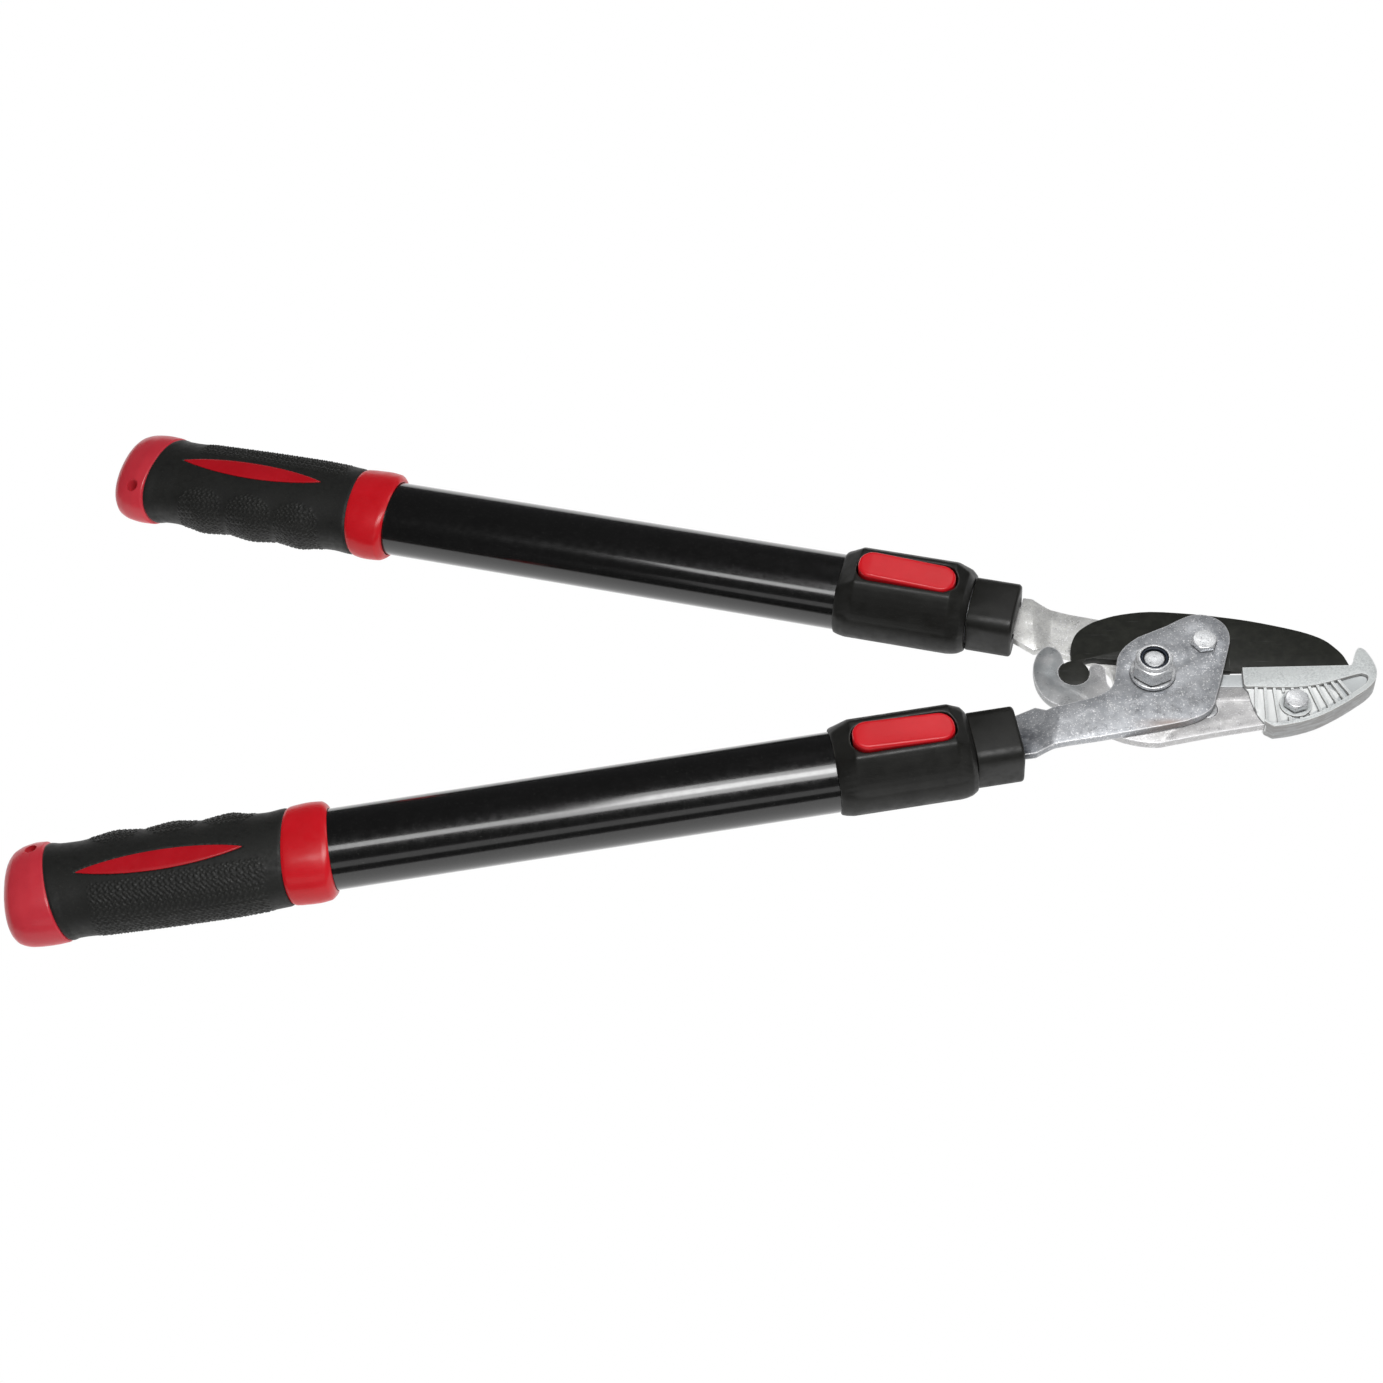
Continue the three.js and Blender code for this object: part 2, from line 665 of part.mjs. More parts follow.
// reverses a geometry's winding after a mirroring scale
function flipped(geometry) {
  const result = geometry.index ? geometry.toNonIndexed() : geometry.clone();
  const { array } = result.attributes.position;
  for (let i = 0; i < array.length; i += 9) {
    for (let k = 0; k < 3; k++) {
      [array[i + 3 + k], array[i + 6 + k]] = [array[i + 6 + k], array[i + 3 + k]];
    }
  }
  return result;
}

function cuttingBlade() {
  let body = prism(bladeShape(), -BLADE_HALF, BLADE_HALF);
  body = cut(body, edgeGrind(1), edgeGrind(-1), hole(BLADE_PIVOT, RIVET_R + GAP));
  return named('cutting_blade', body, COATED_STEEL);
}

function handlePlate(name, side, options, holes) {
  const outline = prism(plateShape(side, options), -THROUGH, THROUGH);
  let body = outline.intersect(joggle(side));
  for (const [centre, radius] of holes) body = cut(body, hole(centre, radius));
  const rollPinHole = hole(onHandle(side, ROLL_PINS[0], 0), ROLL_PIN_R + GAP, HOLE_SIDES);
  return named(name, cut(body, rollPinHole), ZINC);
}

function mainPivot() {
  const bore = MAIN_BOLT_R + GAP;
  const nutTop = NUT_BASE + NUT_HEIGHT;
  const headTop = BACK_WASHER[0] - GAP;
  const turned = { turnBottom: true, turnTop: false, angle: 0.3 };
  const bolt = join(
    roundBar(MAIN_PIVOT, MAIN_BOLT_R, headTop - 1, nutTop - BOLT_END_DROP, { chamfer: 0.6 }),
    hexHead(MAIN_PIVOT, BOLT_FLATS, -AXIS_HEIGHT, headTop, turned),
  );
  const hex = hexHead(MAIN_PIVOT, NUT_FLATS, NUT_BASE, NUT_BASE + NUT_HEX, { turnBottom: true, angle: 0.42 });
  const neck = roundBar(MAIN_PIVOT, NUT_NECK_R, NUT_BASE + NUT_HEX - 1.5, nutTop, { chamfer: 0.7 });
  const ringSeat = roundBar(MAIN_PIVOT, LOCK_RING_R + GAP, nutTop - 2.4, nutTop + 1);
  const nut = cut(join(hex, neck), hole(MAIN_PIVOT, bore), ringSeat);
  return [
    named('main_bolt', bolt, BRIGHT_STEEL),
    named('main_nut', nut, BRIGHT_STEEL),
    named('nut_lock_ring', ring(MAIN_PIVOT, bore, LOCK_RING_R, nutTop - 2.1, nutTop - 0.4, 0.2), NYLON),
    named('front_washer', ring(MAIN_PIVOT, bore, WASHER_R, ...FRONT_WASHER, 0.3), BRIGHT_STEEL),
    named('back_washer', ring(MAIN_PIVOT, bore, WASHER_R, ...BACK_WASHER, 0.3), BRIGHT_STEEL),
    named('pivot_spacer', ring(MAIN_PIVOT, bore, SPACER_R, -BLADE_HALF, BLADE_HALF, 0.2), BRIGHT_STEEL),
  ];
}

// hexagon-headed pivot pins whose far ends are riveted flush
function bladePivotPin() {
  const headBase = PLATE_OUT + GAP;
  const head = hexHead(BLADE_PIVOT, RIVET_FLATS, headBase, headBase + PIN_HEAD, { angle: 0.2 });
  const shank = roundBar(BLADE_PIVOT, RIVET_R, FLUSH - BLADE_HALF, headBase + 1);
  return named('blade_pivot_pin', join(head, shank), BRIGHT_STEEL);
}

function armPivotPin() {
  const headBase = -PLATE_OUT - GAP;
  const turned = { turnBottom: true, turnTop: false, angle: 0.2 };
  const head = hexHead(ARM_PIVOT, ARM_PIN_FLATS, headBase - PIN_HEAD, headBase, turned);
  const shank = roundBar(ARM_PIVOT, ARM_PIN_R, headBase - 1, BLADE_HALF - FLUSH);
  return named('arm_pivot_pin', join(head, shank), BRIGHT_STEEL);
}

function head() {
  const group = new THREE.Group();
  group.position.z = AXIS_HEIGHT;
  const upper = {
    tang: [-11.3, 13.6],
    outerEdge: [[3.7, -29.6], [-7.8, -33.2], [-22.9, -38.6], [-35.9, -41.6], [-47.5, -45.4], [-54, -48.4]],
    lobe: [[14, 24.2], [20.5, 25.6], [27, 25.4], [32, 21.6], [33.8, 16.5], [33.4, 11.5]],
  };
  const lower = {
    tang: [-13.2, 8.6],
    outerEdge: [[3.7, -29.2], [-7.8, -31.9], [-24.9, -35.8], [-38, -38.4], [-46.9, -40.7], [-53.5, -43.2]],
    lobe: [[7.5, 28.2], [16.1, 33.4], [21.8, 35.2], [28, 34.3], [33.4, 30.4], [36, 24.4], [35.9, 18.5]],
  };
  group.add(anvilArm(), anvilJaw(), ...anvilFasteners(), cuttingBlade());
  group.add(handlePlate('upper_plate', 1, upper, [
    [MAIN_PIVOT, MAIN_BOLT_R + GAP],
    [ARM_PIVOT, ARM_PIN_R + GAP],
  ]));
  group.add(handlePlate('lower_plate', -1, lower, [
    [MAIN_PIVOT, LOOSE_HOLE_R],
    [BLADE_PIVOT, RIVET_R + GAP],
  ]));
  group.add(...mainPivot(), bladePivotPin(), armPivotPin());
  return group;
}

// ---------- handles, in a frame with +X outwards along the axis and +Y to the tool's outer side ----------

function verticalPin(s, radius, bottom, top, sides = HOLE_SIDES) {
  return roundBar([s, 0], radius, bottom, top, { sides });
}

function ferrule(prefix, side) {
  const [width, half, radius] = FERRULE_SIZE;
  const section = (s, shrink) => ({
    s,
    points: roundedSection(width - shrink, half - shrink, radius - shrink),
  });
  const shell = loft([section(FERRULE[0], 1), section(FERRULE[0] + 1, 0), section(FERRULE[1], 0)]);
  const plug = ovalBar(PLUG_OVAL, FERRULE[1] - 1, PLUG_END);
  const tangTop = side > 0 ? TANG_DROP - PLATE_IN : PLATE_OUT - TANG_DROP;
  const slotY = [TONGUE_Y[0] - GAP, TONGUE_Y[1] + GAP];
  const slot = box(FERRULE[0] - 2, TONGUE_END + GAP, ...slotY, tangTop - PLATE - GAP, tangTop + GAP);
  const holes = ROLL_PINS.map((s) => verticalPin(s, ROLL_PIN_R + GAP, -THROUGH, THROUGH));
  return named(`${prefix}_ferrule`, cut(join(shell, plug), slot, ...holes), BLACK_PLASTIC);
}

function innerTube(prefix) {
  let body = ovalTube(INNER_OVAL, lesser(INNER_OVAL, INNER_WALL), ...INNER_TUBE);
  for (const s of ROLL_PINS) body = cut(body, verticalPin(s, ROLL_PIN_R + GAP, -THROUGH, THROUGH));
  for (let i = 0; i < LOCK_HOLES; i++) {
    body = cut(body, verticalPin(LOCK_PIN_S + i * LOCK_PITCH, LOCK_HOLE_R, 0, THROUGH));
  }
  return named(`${prefix}_inner_tube`, body, INNER_METAL);
}

function slideBush(prefix) {
  const outer = lesser(OUTER_OVAL, OUTER_WALL + GAP);
  const inner = lesser(INNER_OVAL, -GAP);
  return named(`${prefix}_slide_bush`, ovalTube(outer, inner, ...BUSH), BLACK_PLASTIC);
}

function rollPins(prefix) {
  return ROLL_PINS.map((s, i) => {
    const pin = verticalPin(s, ROLL_PIN_R, GAP - INNER_OVAL[1], INNER_OVAL[1] - GAP);
    return named(`${prefix}_roll_pin_${i + 1}`, pin, BRIGHT_STEEL);
  });
}

// lock housing: an oval body with a raised flat saddle that carries the button
function housingBody() {
  const [footY, footZ] = SADDLE_FOOT;
  const saddle = loft(SADDLE.map(([s, top, flat, side, low]) => ({
    s: HOUSING[0] + s,
    points: [[side, low], [flat, top], [-flat, top], [-side, low], [-footY, footZ], [footY, footZ]],
  })));
  return join(skin(HOUSING[0], HOUSING_SKIN), saddle);
}

function lockHousing(prefix) {
  const [start, end] = HOUSING;
  const pocketLength = BUTTON_LENGTH + 2 * POCKET_END_GAP;
  const pocket = roundedRectangle(BUTTON_S, 0, pocketLength, BUTTON_WIDTH + 2 * GAP, BUTTON_CORNER + GAP);
  const body = cut(
    housingBody(),
    ovalBar(lesser(INNER_OVAL, -GAP), start - 1, end + 1),
    ovalBar(lesser(OUTER_OVAL, -GAP), TUBE_SOCKET, end + 1),
    prism(pocket, POCKET_FLOOR, PLATFORM_Z + 2),
    verticalPin(LOCK_PIN_S, LOCK_HOLE_R, 0, POCKET_FLOOR + 1),
    crossBar(BUTTON_S, HINGE_Z, HINGE_R + GAP, -PIN_HALF - GAP, PIN_HALF + GAP),
    verticalPin(SCREW_S, SCREW_HEAD_R + GAP, -THROUGH, SCREW_HEAD[1] + GAP),
    screwHole(),
  );
  return named(`${prefix}_lock_housing`, body, BLACK_PLASTIC);
}

function screwHole() {
  return verticalPin(SCREW_S, SCREW_R + GAP, -THROUGH, 0);
}

function housingScrew(prefix) {
  const head = roundBar([SCREW_S, 0], SCREW_HEAD_R, ...SCREW_HEAD, { chamfer: 0.2, sides: HOLE_SIDES });
  const shank = verticalPin(SCREW_S, SCREW_R, SCREW_HEAD[0] + 0.5, SCREW_TIP);
  return named(`${prefix}_housing_screw`, join(head, shank), BRIGHT_STEEL);
}

function outerTube(prefix) {
  const tube = ovalTube(OUTER_OVAL, lesser(OUTER_OVAL, OUTER_WALL), ...OUTER_TUBE);
  return named(`${prefix}_outer_tube`, cut(tube, screwHole()), TUBE_PAINT);
}

function tubeBore([start, end]) {
  return ovalBar(lesser(OUTER_OVAL, -GAP), start - 1, end + 1);
}

function gripCollar(prefix) {
  const body = cut(skin(COLLAR[0], COLLAR_SKIN), tubeBore(COLLAR));
  return named(`${prefix}_grip_collar`, body, RED_PLASTIC);
}

// lens with pointed ends, on the grip's upper face
function lensShape(inset) {
  const middle = (LENS[0] + LENS[1]) / 2;
  const reach = (LENS[1] - LENS[0]) / 2 - 3 * inset;
  const half = LENS_HALF - inset;
  const side = (sign) => (k) => [
    middle - sign * reach * Math.cos(k),
    LENS_Y + sign * half * Math.sin(k) ** 2,
  ];
  const points = [];
  for (const sign of [1, -1]) {
    for (let i = 0; i < LENS_STEPS; i++) points.push(side(sign)(Math.PI * i / LENS_STEPS));
  }
  return new THREE.Shape(vectors(points));
}

function grip(prefix) {
  const gripSkin = (extra) => skin(GRIP[0], GRIP_SKIN, extra);
  const lens = (inset) => prism(lensShape(inset), PLUG_OVAL[1], THROUGH);
  const recess = cut(lens(0), gripSkin(-RECESS_DEPTH));
  const body = cut(gripSkin(0), tubeBore(GRIP), recess);
  const inlay = cut(gripSkin(INLAY_PROUD).intersect(lens(GAP)), gripSkin(-INLAY_DEPTH));
  return [named(`${prefix}_grip`, body, RUBBER), named(`${prefix}_grip_inlay`, inlay, RED_PLASTIC)];
}

function endCap(prefix) {
  const plug = ovalBar(lesser(OUTER_OVAL, OUTER_WALL + GAP), CAP_PLUG, CAP[0] + 1);
  const body = cut(join(skin(CAP[0], CAP_SKIN), plug), hole(HANG_HOLE, HANG_HOLE_R, HOLE_SIDES));
  return named(`${prefix}_end_cap`, body, RED_PLASTIC);
}

function lockButton(prefix) {
  const outline = roundedRectangle(BUTTON_S, 0, BUTTON_LENGTH, BUTTON_WIDTH, BUTTON_CORNER);
  const rise = (BUTTON_REAR_TOP - BUTTON_FRONT_TOP) / BUTTON_LENGTH;
  const above = new THREE.BoxGeometry(80, 40, 10);
  above.translate(0, 0, 5);
  above.rotateY(-Math.atan(rise));
  above.translate(BUTTON_S, 0, (BUTTON_FRONT_TOP + BUTTON_REAR_TOP) / 2);
  let body = chamferedPrism(outline, BUTTON_BASE, BUTTON_REAR_TOP + 0.4, 1.0);
  body = cut(body, solid(above));
  body = join(body, crossBar(BUTTON_S, HINGE_Z, HUB_R, -HUB_HALF, HUB_HALF));
  body = cut(
    body,
    crossBar(BUTTON_S, HINGE_Z, HUB_R + 2 * GAP, -SPRING_HALF, SPRING_HALF),
    crossBar(BUTTON_S, HINGE_Z, HINGE_R + GAP, -PIN_HALF, PIN_HALF),
    verticalPin(LOCK_PIN_S, LOCK_PIN_R + GAP, 0, LOCK_PIN_TOP + GAP),
  );
  return named(`${prefix}_lock_button`, body, RED_PLASTIC);
}

function lockPin(prefix) {
  const tip = INNER_OVAL[1] + GAP;
  const options = { chamfer: 0.4, sides: HOLE_SIDES };
  const pin = roundBar([LOCK_PIN_S, 0], LOCK_PIN_R, tip, LOCK_PIN_TOP, options);
  return named(`${prefix}_lock_pin`, pin, BRIGHT_STEEL);
}

function hingePin(prefix) {
  const pin = crossBar(BUTTON_S, HINGE_Z, HINGE_R, -PIN_HALF, PIN_HALF);
  return named(`${prefix}_button_hinge_pin`, pin, BRIGHT_STEEL);
}

function buttonSpring(prefix) {
  const half = TURNS * COIL_PITCH / 2;
  const points = [new THREE.Vector3(BUTTON_S - LEG, -half, HINGE_Z - COIL_R + LEG_RISE)];
  for (let i = 0; i <= TURNS * COIL_STEPS; i++) {
    const turn = 2 * Math.PI * i / COIL_STEPS;
    points.push(new THREE.Vector3(
      BUTTON_S + COIL_R * Math.sin(turn),
      -half + COIL_PITCH * i / COIL_STEPS,
      HINGE_Z - COIL_R * Math.cos(turn),
    ));
  }
  points.push(new THREE.Vector3(BUTTON_S + LEG, half, HINGE_Z - COIL_R - LEG_DROP));
  const wire = new THREE.Shape();
  wire.absarc(0, 0, WIRE_R, 0, 2 * Math.PI, false);
  const extrudePath = new THREE.CatmullRomCurve3(points, false, 'centripetal');
  const geometry = new THREE.ExtrudeGeometry(wire, { extrudePath, steps: WIRE_STEPS, curveSegments: 3 });
  return named(`${prefix}_button_spring`, solid(geometry), BRIGHT_STEEL);
}

function handle(prefix, side) {
  const frame = new THREE.Group();
  frame.position.set(0, side * HANDLE_OFFSET, AXIS_HEIGHT);
  frame.rotation.z = Math.PI - side * HANDLE_ANGLE;
  frame.scale.y = -side;
  frame.add(ferrule(prefix, side), innerTube(prefix), slideBush(prefix), ...rollPins(prefix));
  frame.add(lockHousing(prefix), housingScrew(prefix), outerTube(prefix));
  frame.add(gripCollar(prefix), ...grip(prefix), endCap(prefix));
  frame.add(lockButton(prefix), lockPin(prefix), hingePin(prefix), buttonSpring(prefix));
  return frame;
}

const group = new THREE.Group();
group.add(head(), handle('upper', 1), handle('lower', -1));

export default group;
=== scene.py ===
"""Telescopic anvil loppers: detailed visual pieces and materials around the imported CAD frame."""
import json
import math

import bmesh
import bpy
import numpy as np
from mathutils import Matrix, Vector

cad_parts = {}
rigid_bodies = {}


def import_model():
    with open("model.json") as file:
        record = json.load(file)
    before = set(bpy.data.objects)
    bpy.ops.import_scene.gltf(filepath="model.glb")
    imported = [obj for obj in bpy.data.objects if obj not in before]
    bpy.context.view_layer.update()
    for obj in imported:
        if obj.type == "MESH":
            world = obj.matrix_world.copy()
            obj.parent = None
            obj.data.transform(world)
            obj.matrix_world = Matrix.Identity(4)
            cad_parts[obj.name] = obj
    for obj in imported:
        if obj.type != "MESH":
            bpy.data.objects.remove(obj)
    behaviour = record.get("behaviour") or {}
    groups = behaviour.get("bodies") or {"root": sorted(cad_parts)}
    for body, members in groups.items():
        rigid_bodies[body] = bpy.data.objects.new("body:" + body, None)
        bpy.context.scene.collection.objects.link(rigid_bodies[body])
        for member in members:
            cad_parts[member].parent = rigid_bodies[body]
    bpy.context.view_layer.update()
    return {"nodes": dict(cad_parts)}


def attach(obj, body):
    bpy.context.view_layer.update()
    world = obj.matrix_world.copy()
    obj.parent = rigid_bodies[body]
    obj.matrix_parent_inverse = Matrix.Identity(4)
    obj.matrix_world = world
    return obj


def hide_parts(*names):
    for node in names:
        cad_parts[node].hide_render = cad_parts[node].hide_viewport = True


MM = 0.001
SIDES = {"upper": 1, "lower": -1}

# handle frame: s runs outwards along the handle, t towards the tool's outer side, z up from the axis
HANDLE_ANGLE = math.radians(11.65)
HANDLE_OFFSET = 23.16
AXIS_HEIGHT = 16.5

# skins as in the CAD: [station, outer half width, inner half width, half height]
COLLAR_SKIN = [
    (376.3, 21.2, 21.2, 15.6), (377.2, 22.6, 22.6, 16.0), (379.3, 24.5, 24.3, 16.3),
    (385.3, 25.2, 24.8, 16.5), (391.3, 24.9, 24.4, 16.4), (394.6, 24.5, 24.0, 16.2),
    (396.0, 23.6, 23.2, 15.8),
]
GRIP_SKIN = [
    (396.3, 24.0, 23.0, 15.8), (397.5, 24.6, 23.5, 16.1), (404, 25.0, 22.6, 16.2),
    (412, 25.4, 23.2, 16.3), (421, 25.7, 25.4, 16.4), (434, 25.6, 23.8, 16.4),
    (447, 25.4, 25.7, 16.4), (460, 25.0, 24.0, 16.4), (473, 24.6, 25.6, 16.3),
    (482, 24.2, 23.9, 16.2), (490, 23.8, 22.9, 16.0), (496, 23.9, 23.2, 16.0),
    (500.0, 24.6, 24.3, 16.1), (501.0, 24.2, 23.9, 15.9),
]
CAP_SKIN = [
    (501.3, 24.6, 24.9, 15.9), (502.0, 25.3, 25.6, 16.2), (507.3, 25.8, 25.9, 16.3),
    (513.3, 25.2, 25.3, 15.7), (518.3, 23.2, 23.3, 14.4), (521.0, 20.2, 20.2, 12.6),
    (522.7, 15.8, 15.8, 10.0), (523.4, 10.0, 10.0, 6.4), (523.5, 4.0, 4.0, 2.6),
]
HOUSING_SKIN = [
    (84.5, 19.6, 19.6, 14.4), (87.5, 21.6, 21.6, 15.6), (92.5, 22.6, 22.6, 16.2),
    (141.3, 22.6, 22.6, 16.2), (145.3, 21.8, 21.8, 15.9), (147.3, 20.9, 20.9, 15.7),
]
# saddle under the button: [station, top, flat half width, side half width, side foot]
SADDLE = [
    (84.5, 14.4, 8.2, 18.6, 5.0), (86.9, 18.4, 9.1, 20.4, 5.6), (93.0, 22.5, 9.9, 21.2, 5.8),
    (138.5, 22.5, 9.9, 21.2, 5.8), (146.3, 16.4, 9.7, 20.4, 5.2), (147.3, 15.4, 9.4, 20.0, 5.0),
]
# seams whose plane leans: [station, reach along the handle, shift towards the head at the middle,
# more per outward half width, more per half height]
SEAMS = [(396.15, 9.0, 0.8, -1.8, -1.8), (501.15, 13.0, 0.9, 2.6, -3.3)]
SEAM_SECTION = (25.0, 16.0)
SECTION_POWER = 2.15
SHOULDER_POWER = 1.5                    # 2 would be straight sides from the platform to the foot
OUTER_TUBE = (129.0, 500.6, 19.6, 15.0, 1.5)  # start, end, half width, half height, wall
INNER_OVAL = (15.3, 12.3)
TUBE_SOCKET_OVAL = (19.9, 15.3)
TUBE_SOCKET_START = 128.7
BUTTON = (115.2, 46.3, 15.5, 7.0)       # station, length, width, corner radius
BUTTON_Z = (18.2, 22.9, 25.6)           # base, top at the front, top at the rear
POCKET_FLOOR = 13.9
HANG_HOLE = (510.5, -16.6, 2.8)         # station, offset, radius
TOOL_REACH = 30                         # cutting tools run this far past the handle's axis, up and down
POCKET_GAP = (1.8, 0.6, 0.3)            # pocket over button: length, width, corner radius
SCREW_HOLE = (9.0, 3.0, -15.1)          # distance from the housing's end, radius, height it reaches
COLLAR_STEPS = 30                       # stations along each skin
CAP_STEPS = 40
HOUSING_STEPS = 24
HOUSING_VOXEL = 0.45
HOUSING_RELAXING = 9
SHOULDER_STEPS = 8
FERRULE_ROUND = 0.7
CAP_ROUND = 0.5                         # edge of the cap's hole
SADDLE_FOOT = [(-15, -5), (15, -5)]     # the saddle's underside, inside the housing's skin
TUBE_EDGE = 0.4                         # broken edge at each end of the outer tube

BUTTON_ROUND = 1.5                      # radius of the button's top edge
BUTTON_CHAMFER = [(0.6, 0.0), (0.0, 0.5)]  # inset and height of the rings at its base
BUTTON_CROWN = 0.12                     # its top rises this much to the middle
BUTTON_RIDGE = 0.3                      # half width left at the middle of the crown
LEAST_CORNER = 0.05
BUTTON_SINK = 0.15                      # the top stays this far under the CAD button's
ROUND_STEPS = 6
CROWN_STEPS = 7

# grip relief, where every bump field is a height and a pitch
GRIP_STEPS = (250, 320)                 # stations along the grip, points round it
GRIP_BEYOND = 40                        # wider than any grip section
OUTER_RELIEF = (0.55, 2.7)
OUTER_FROM = 8.5                        # half width where the outer relief starts
OUTER_STATIONS = (403, 486)
OUTER_FADE = (1.5, 5)                   # the outer relief comes in over this much, across and along
FINGER_RELIEF = (0.50, 2.5)
FINGER_CENTRES = (421, 447, 473)
FINGER_REACH = 12.5
FINGER_FROM = (11.5, 6.0)               # half width where a patch starts, and how much more at its ends
FINGER_FADE = 1.2
FINGER_STEEPNESS = 5                    # of a patch's ends along the grip

# red lens in the grip's upper face
LENS = (413.5, 490.0, 5.4, 2.3)         # start, end, half width, centre offset
LENS_POINT = 0.85                       # 0.5 would be an ellipse, and more is more pointed
LENS_POCKET = 0.55                      # depth of the pocket in the grip
LENS_GAP = (1.0, 0.3)                   # inlay inside its pocket: along and across
LENS_STEPS = (90, 13)
LENS_LEAST = 0.15                       # half width left at the inlay's ends
LENS_CROWN = 0.25
LENS_CROWN_RUN = 0.5                    # the crown rises over this width at the lens's rim
LENS_TOP = 0.05                         # rim below the grip's face
LENS_BOTTOM = 0.5

ROUND = 96                              # points round a section
MERGE = 1e-6                            # metres within which points are one
CAD_MERGE = 2e-6
FLAT_ANGLE = math.radians(0.6)          # CAD facets closer than this are one face

# near white for painted highlights: glints on the zinc, and highlights along the edges of zinc and steel
PAINTED_HIGHLIGHT = (250, 250, 251)

CAMERA_TARGET = Vector((-0.21238, -0.00785, 0.0165))
CAMERA_DISTANCE = 1.13266
CAMERA_AZIMUTH = math.radians(9.535)
CAMERA_ELEVATION = math.radians(52.374)
CAMERA_ROLL = math.radians(-7.036)
CAMERA_LENS = 63.08
CAMERA_SENSOR = 36.0
CAMERA_CLIP = 50.0

# name, position, target, width, height, watts: a target a hair off straight below keeps the width along X
LIGHTS = [
    ("key_wide", (0.06, -0.10, 1.05), (0.06, -0.0999, 0.0), 0.70, 0.55, 5.6),
    ("key_core", (0.05, -0.08, 1.04), (0.05, -0.0799, 0.0), 0.60, 0.20, 2.5),
    ("key_tail", (-0.42, -0.20, 1.05), (-0.42, -0.1999, 0.0), 0.26, 0.20, 0.8),
    ("front", (-0.20, -1.10, 0.70), (-0.20, 0.0, 0.0), 1.20, 0.40, 1.0),
    ("head", (0.12, 0.80, 1.03), (0.0, 0.0, 0.0), 0.40, 0.30, 0.8),
]
FILL_LIGHT = (0.06, 0.06, 0.063, 1)
WHITE = (1, 1, 1, 1)
BLACK = (0, 0, 0, 1)
FLOOR_REACH = 30.0
FLOOR_DROP = 0.0002


# ---------- mesh helpers ----------

def to_row(points, side):
    """Handle-frame points in millimetres as row-frame points in metres."""
    p = np.asarray(points, float)
    c, d = math.cos(HANDLE_ANGLE), math.sin(HANDLE_ANGLE)
    x = -p[:, 0] * c + p[:, 1] * d
    y = side * (p[:, 0] * d + p[:, 1] * c + HANDLE_OFFSET)
    return np.stack([x, y, p[:, 2] + AXIS_HEIGHT], axis=1) * MM


def leaning(points):
    """Handle-frame points, moved along the handle so that the grip's two seams lean as they should."""
    p = np.array(points, float)
    shift = np.zeros(len(p))
    for station, reach, middle, outward, upward in SEAMS:
        near = np.clip(1 - np.abs(p[:, 0] - station) / reach, 0, 1)
        near = near * near * (3 - 2 * near)
        shift += near * (middle + outward * p[:, 1] / SEAM_SECTION[0] + upward * p[:, 2] / SEAM_SECTION[1])
    p[:, 0] -= shift
    return p


def new_object(name, points, faces):
    mesh = bpy.data.meshes.new(name)
    mesh.from_pydata([tuple(p) for p in points], [], faces)
    obj = bpy.data.objects.new(name, mesh)
    bpy.context.scene.collection.objects.link(obj)
    clean(obj)
    return obj


def clean(obj):
    """Merges points that coincide and turns every face outwards."""
    bm = bmesh.new()
    bm.from_mesh(obj.data)
    bmesh.ops.remove_doubles(bm, verts=bm.verts, dist=MERGE)
    bmesh.ops.recalc_face_normals(bm, faces=bm.faces)
    bm.to_mesh(obj.data)
    bm.free()


def smooth(obj, angle=35):
    """Smooth shading, with the edges over the angle kept sharp."""
    mesh = obj.data
    mesh.shade_smooth()
    bm = bmesh.new()
    bm.from_mesh(mesh)
    limit = math.radians(angle)
    for edge in bm.edges:
        edge.smooth = len(edge.link_faces) == 2 and edge.calc_face_angle(0) < limit
    bm.to_mesh(mesh)
    bm.free()


def apply_modifiers(obj):
    graph = bpy.context.evaluated_depsgraph_get()
    mesh = bpy.data.meshes.new_from_object(obj.evaluated_get(graph))
    obj.modifiers.clear()
    obj.data = mesh


def bevel(obj, width, segments=2, angle=30):
    modifier = obj.modifiers.new("bevel", "BEVEL")
    modifier.width = width * MM
    modifier.segments = segments
    modifier.limit_method = "ANGLE"
    modifier.angle_limit = math.radians(angle)
    modifier.use_clamp_overlap = True
    apply_modifiers(obj)


def boolean(obj, tool, operation):
    modifier = obj.modifiers.new("boolean", "BOOLEAN")
    modifier.operation = operation
    modifier.solver = "EXACT"
    modifier.object = tool
    apply_modifiers(obj)
    bpy.data.objects.remove(tool)


def remesh(obj, voxel, smoothing):
    """One even skin over joined solids, with its corners relaxed into soft rounds."""
    modifier = obj.modifiers.new("remesh", "REMESH")
    modifier.mode = "VOXEL"
    modifier.voxel_size = voxel * MM
    relax = obj.modifiers.new("relax", "SMOOTH")
    relax.iterations = smoothing
    relax.factor = 0.5
    apply_modifiers(obj)


def resample(rows, count):
    """Rows at evenly spaced stations, on a curve through the given ones that never overshoots them."""
    table = np.array(rows, float)
    s = table[:, 0]
    stations = np.unique(np.concatenate([np.linspace(s[0], s[-1], count), s]))
    columns = [stations]
    for k in range(1, table.shape[1]):
        columns.append(monotone(s, table[:, k], stations))
    return np.stack(columns, axis=1)


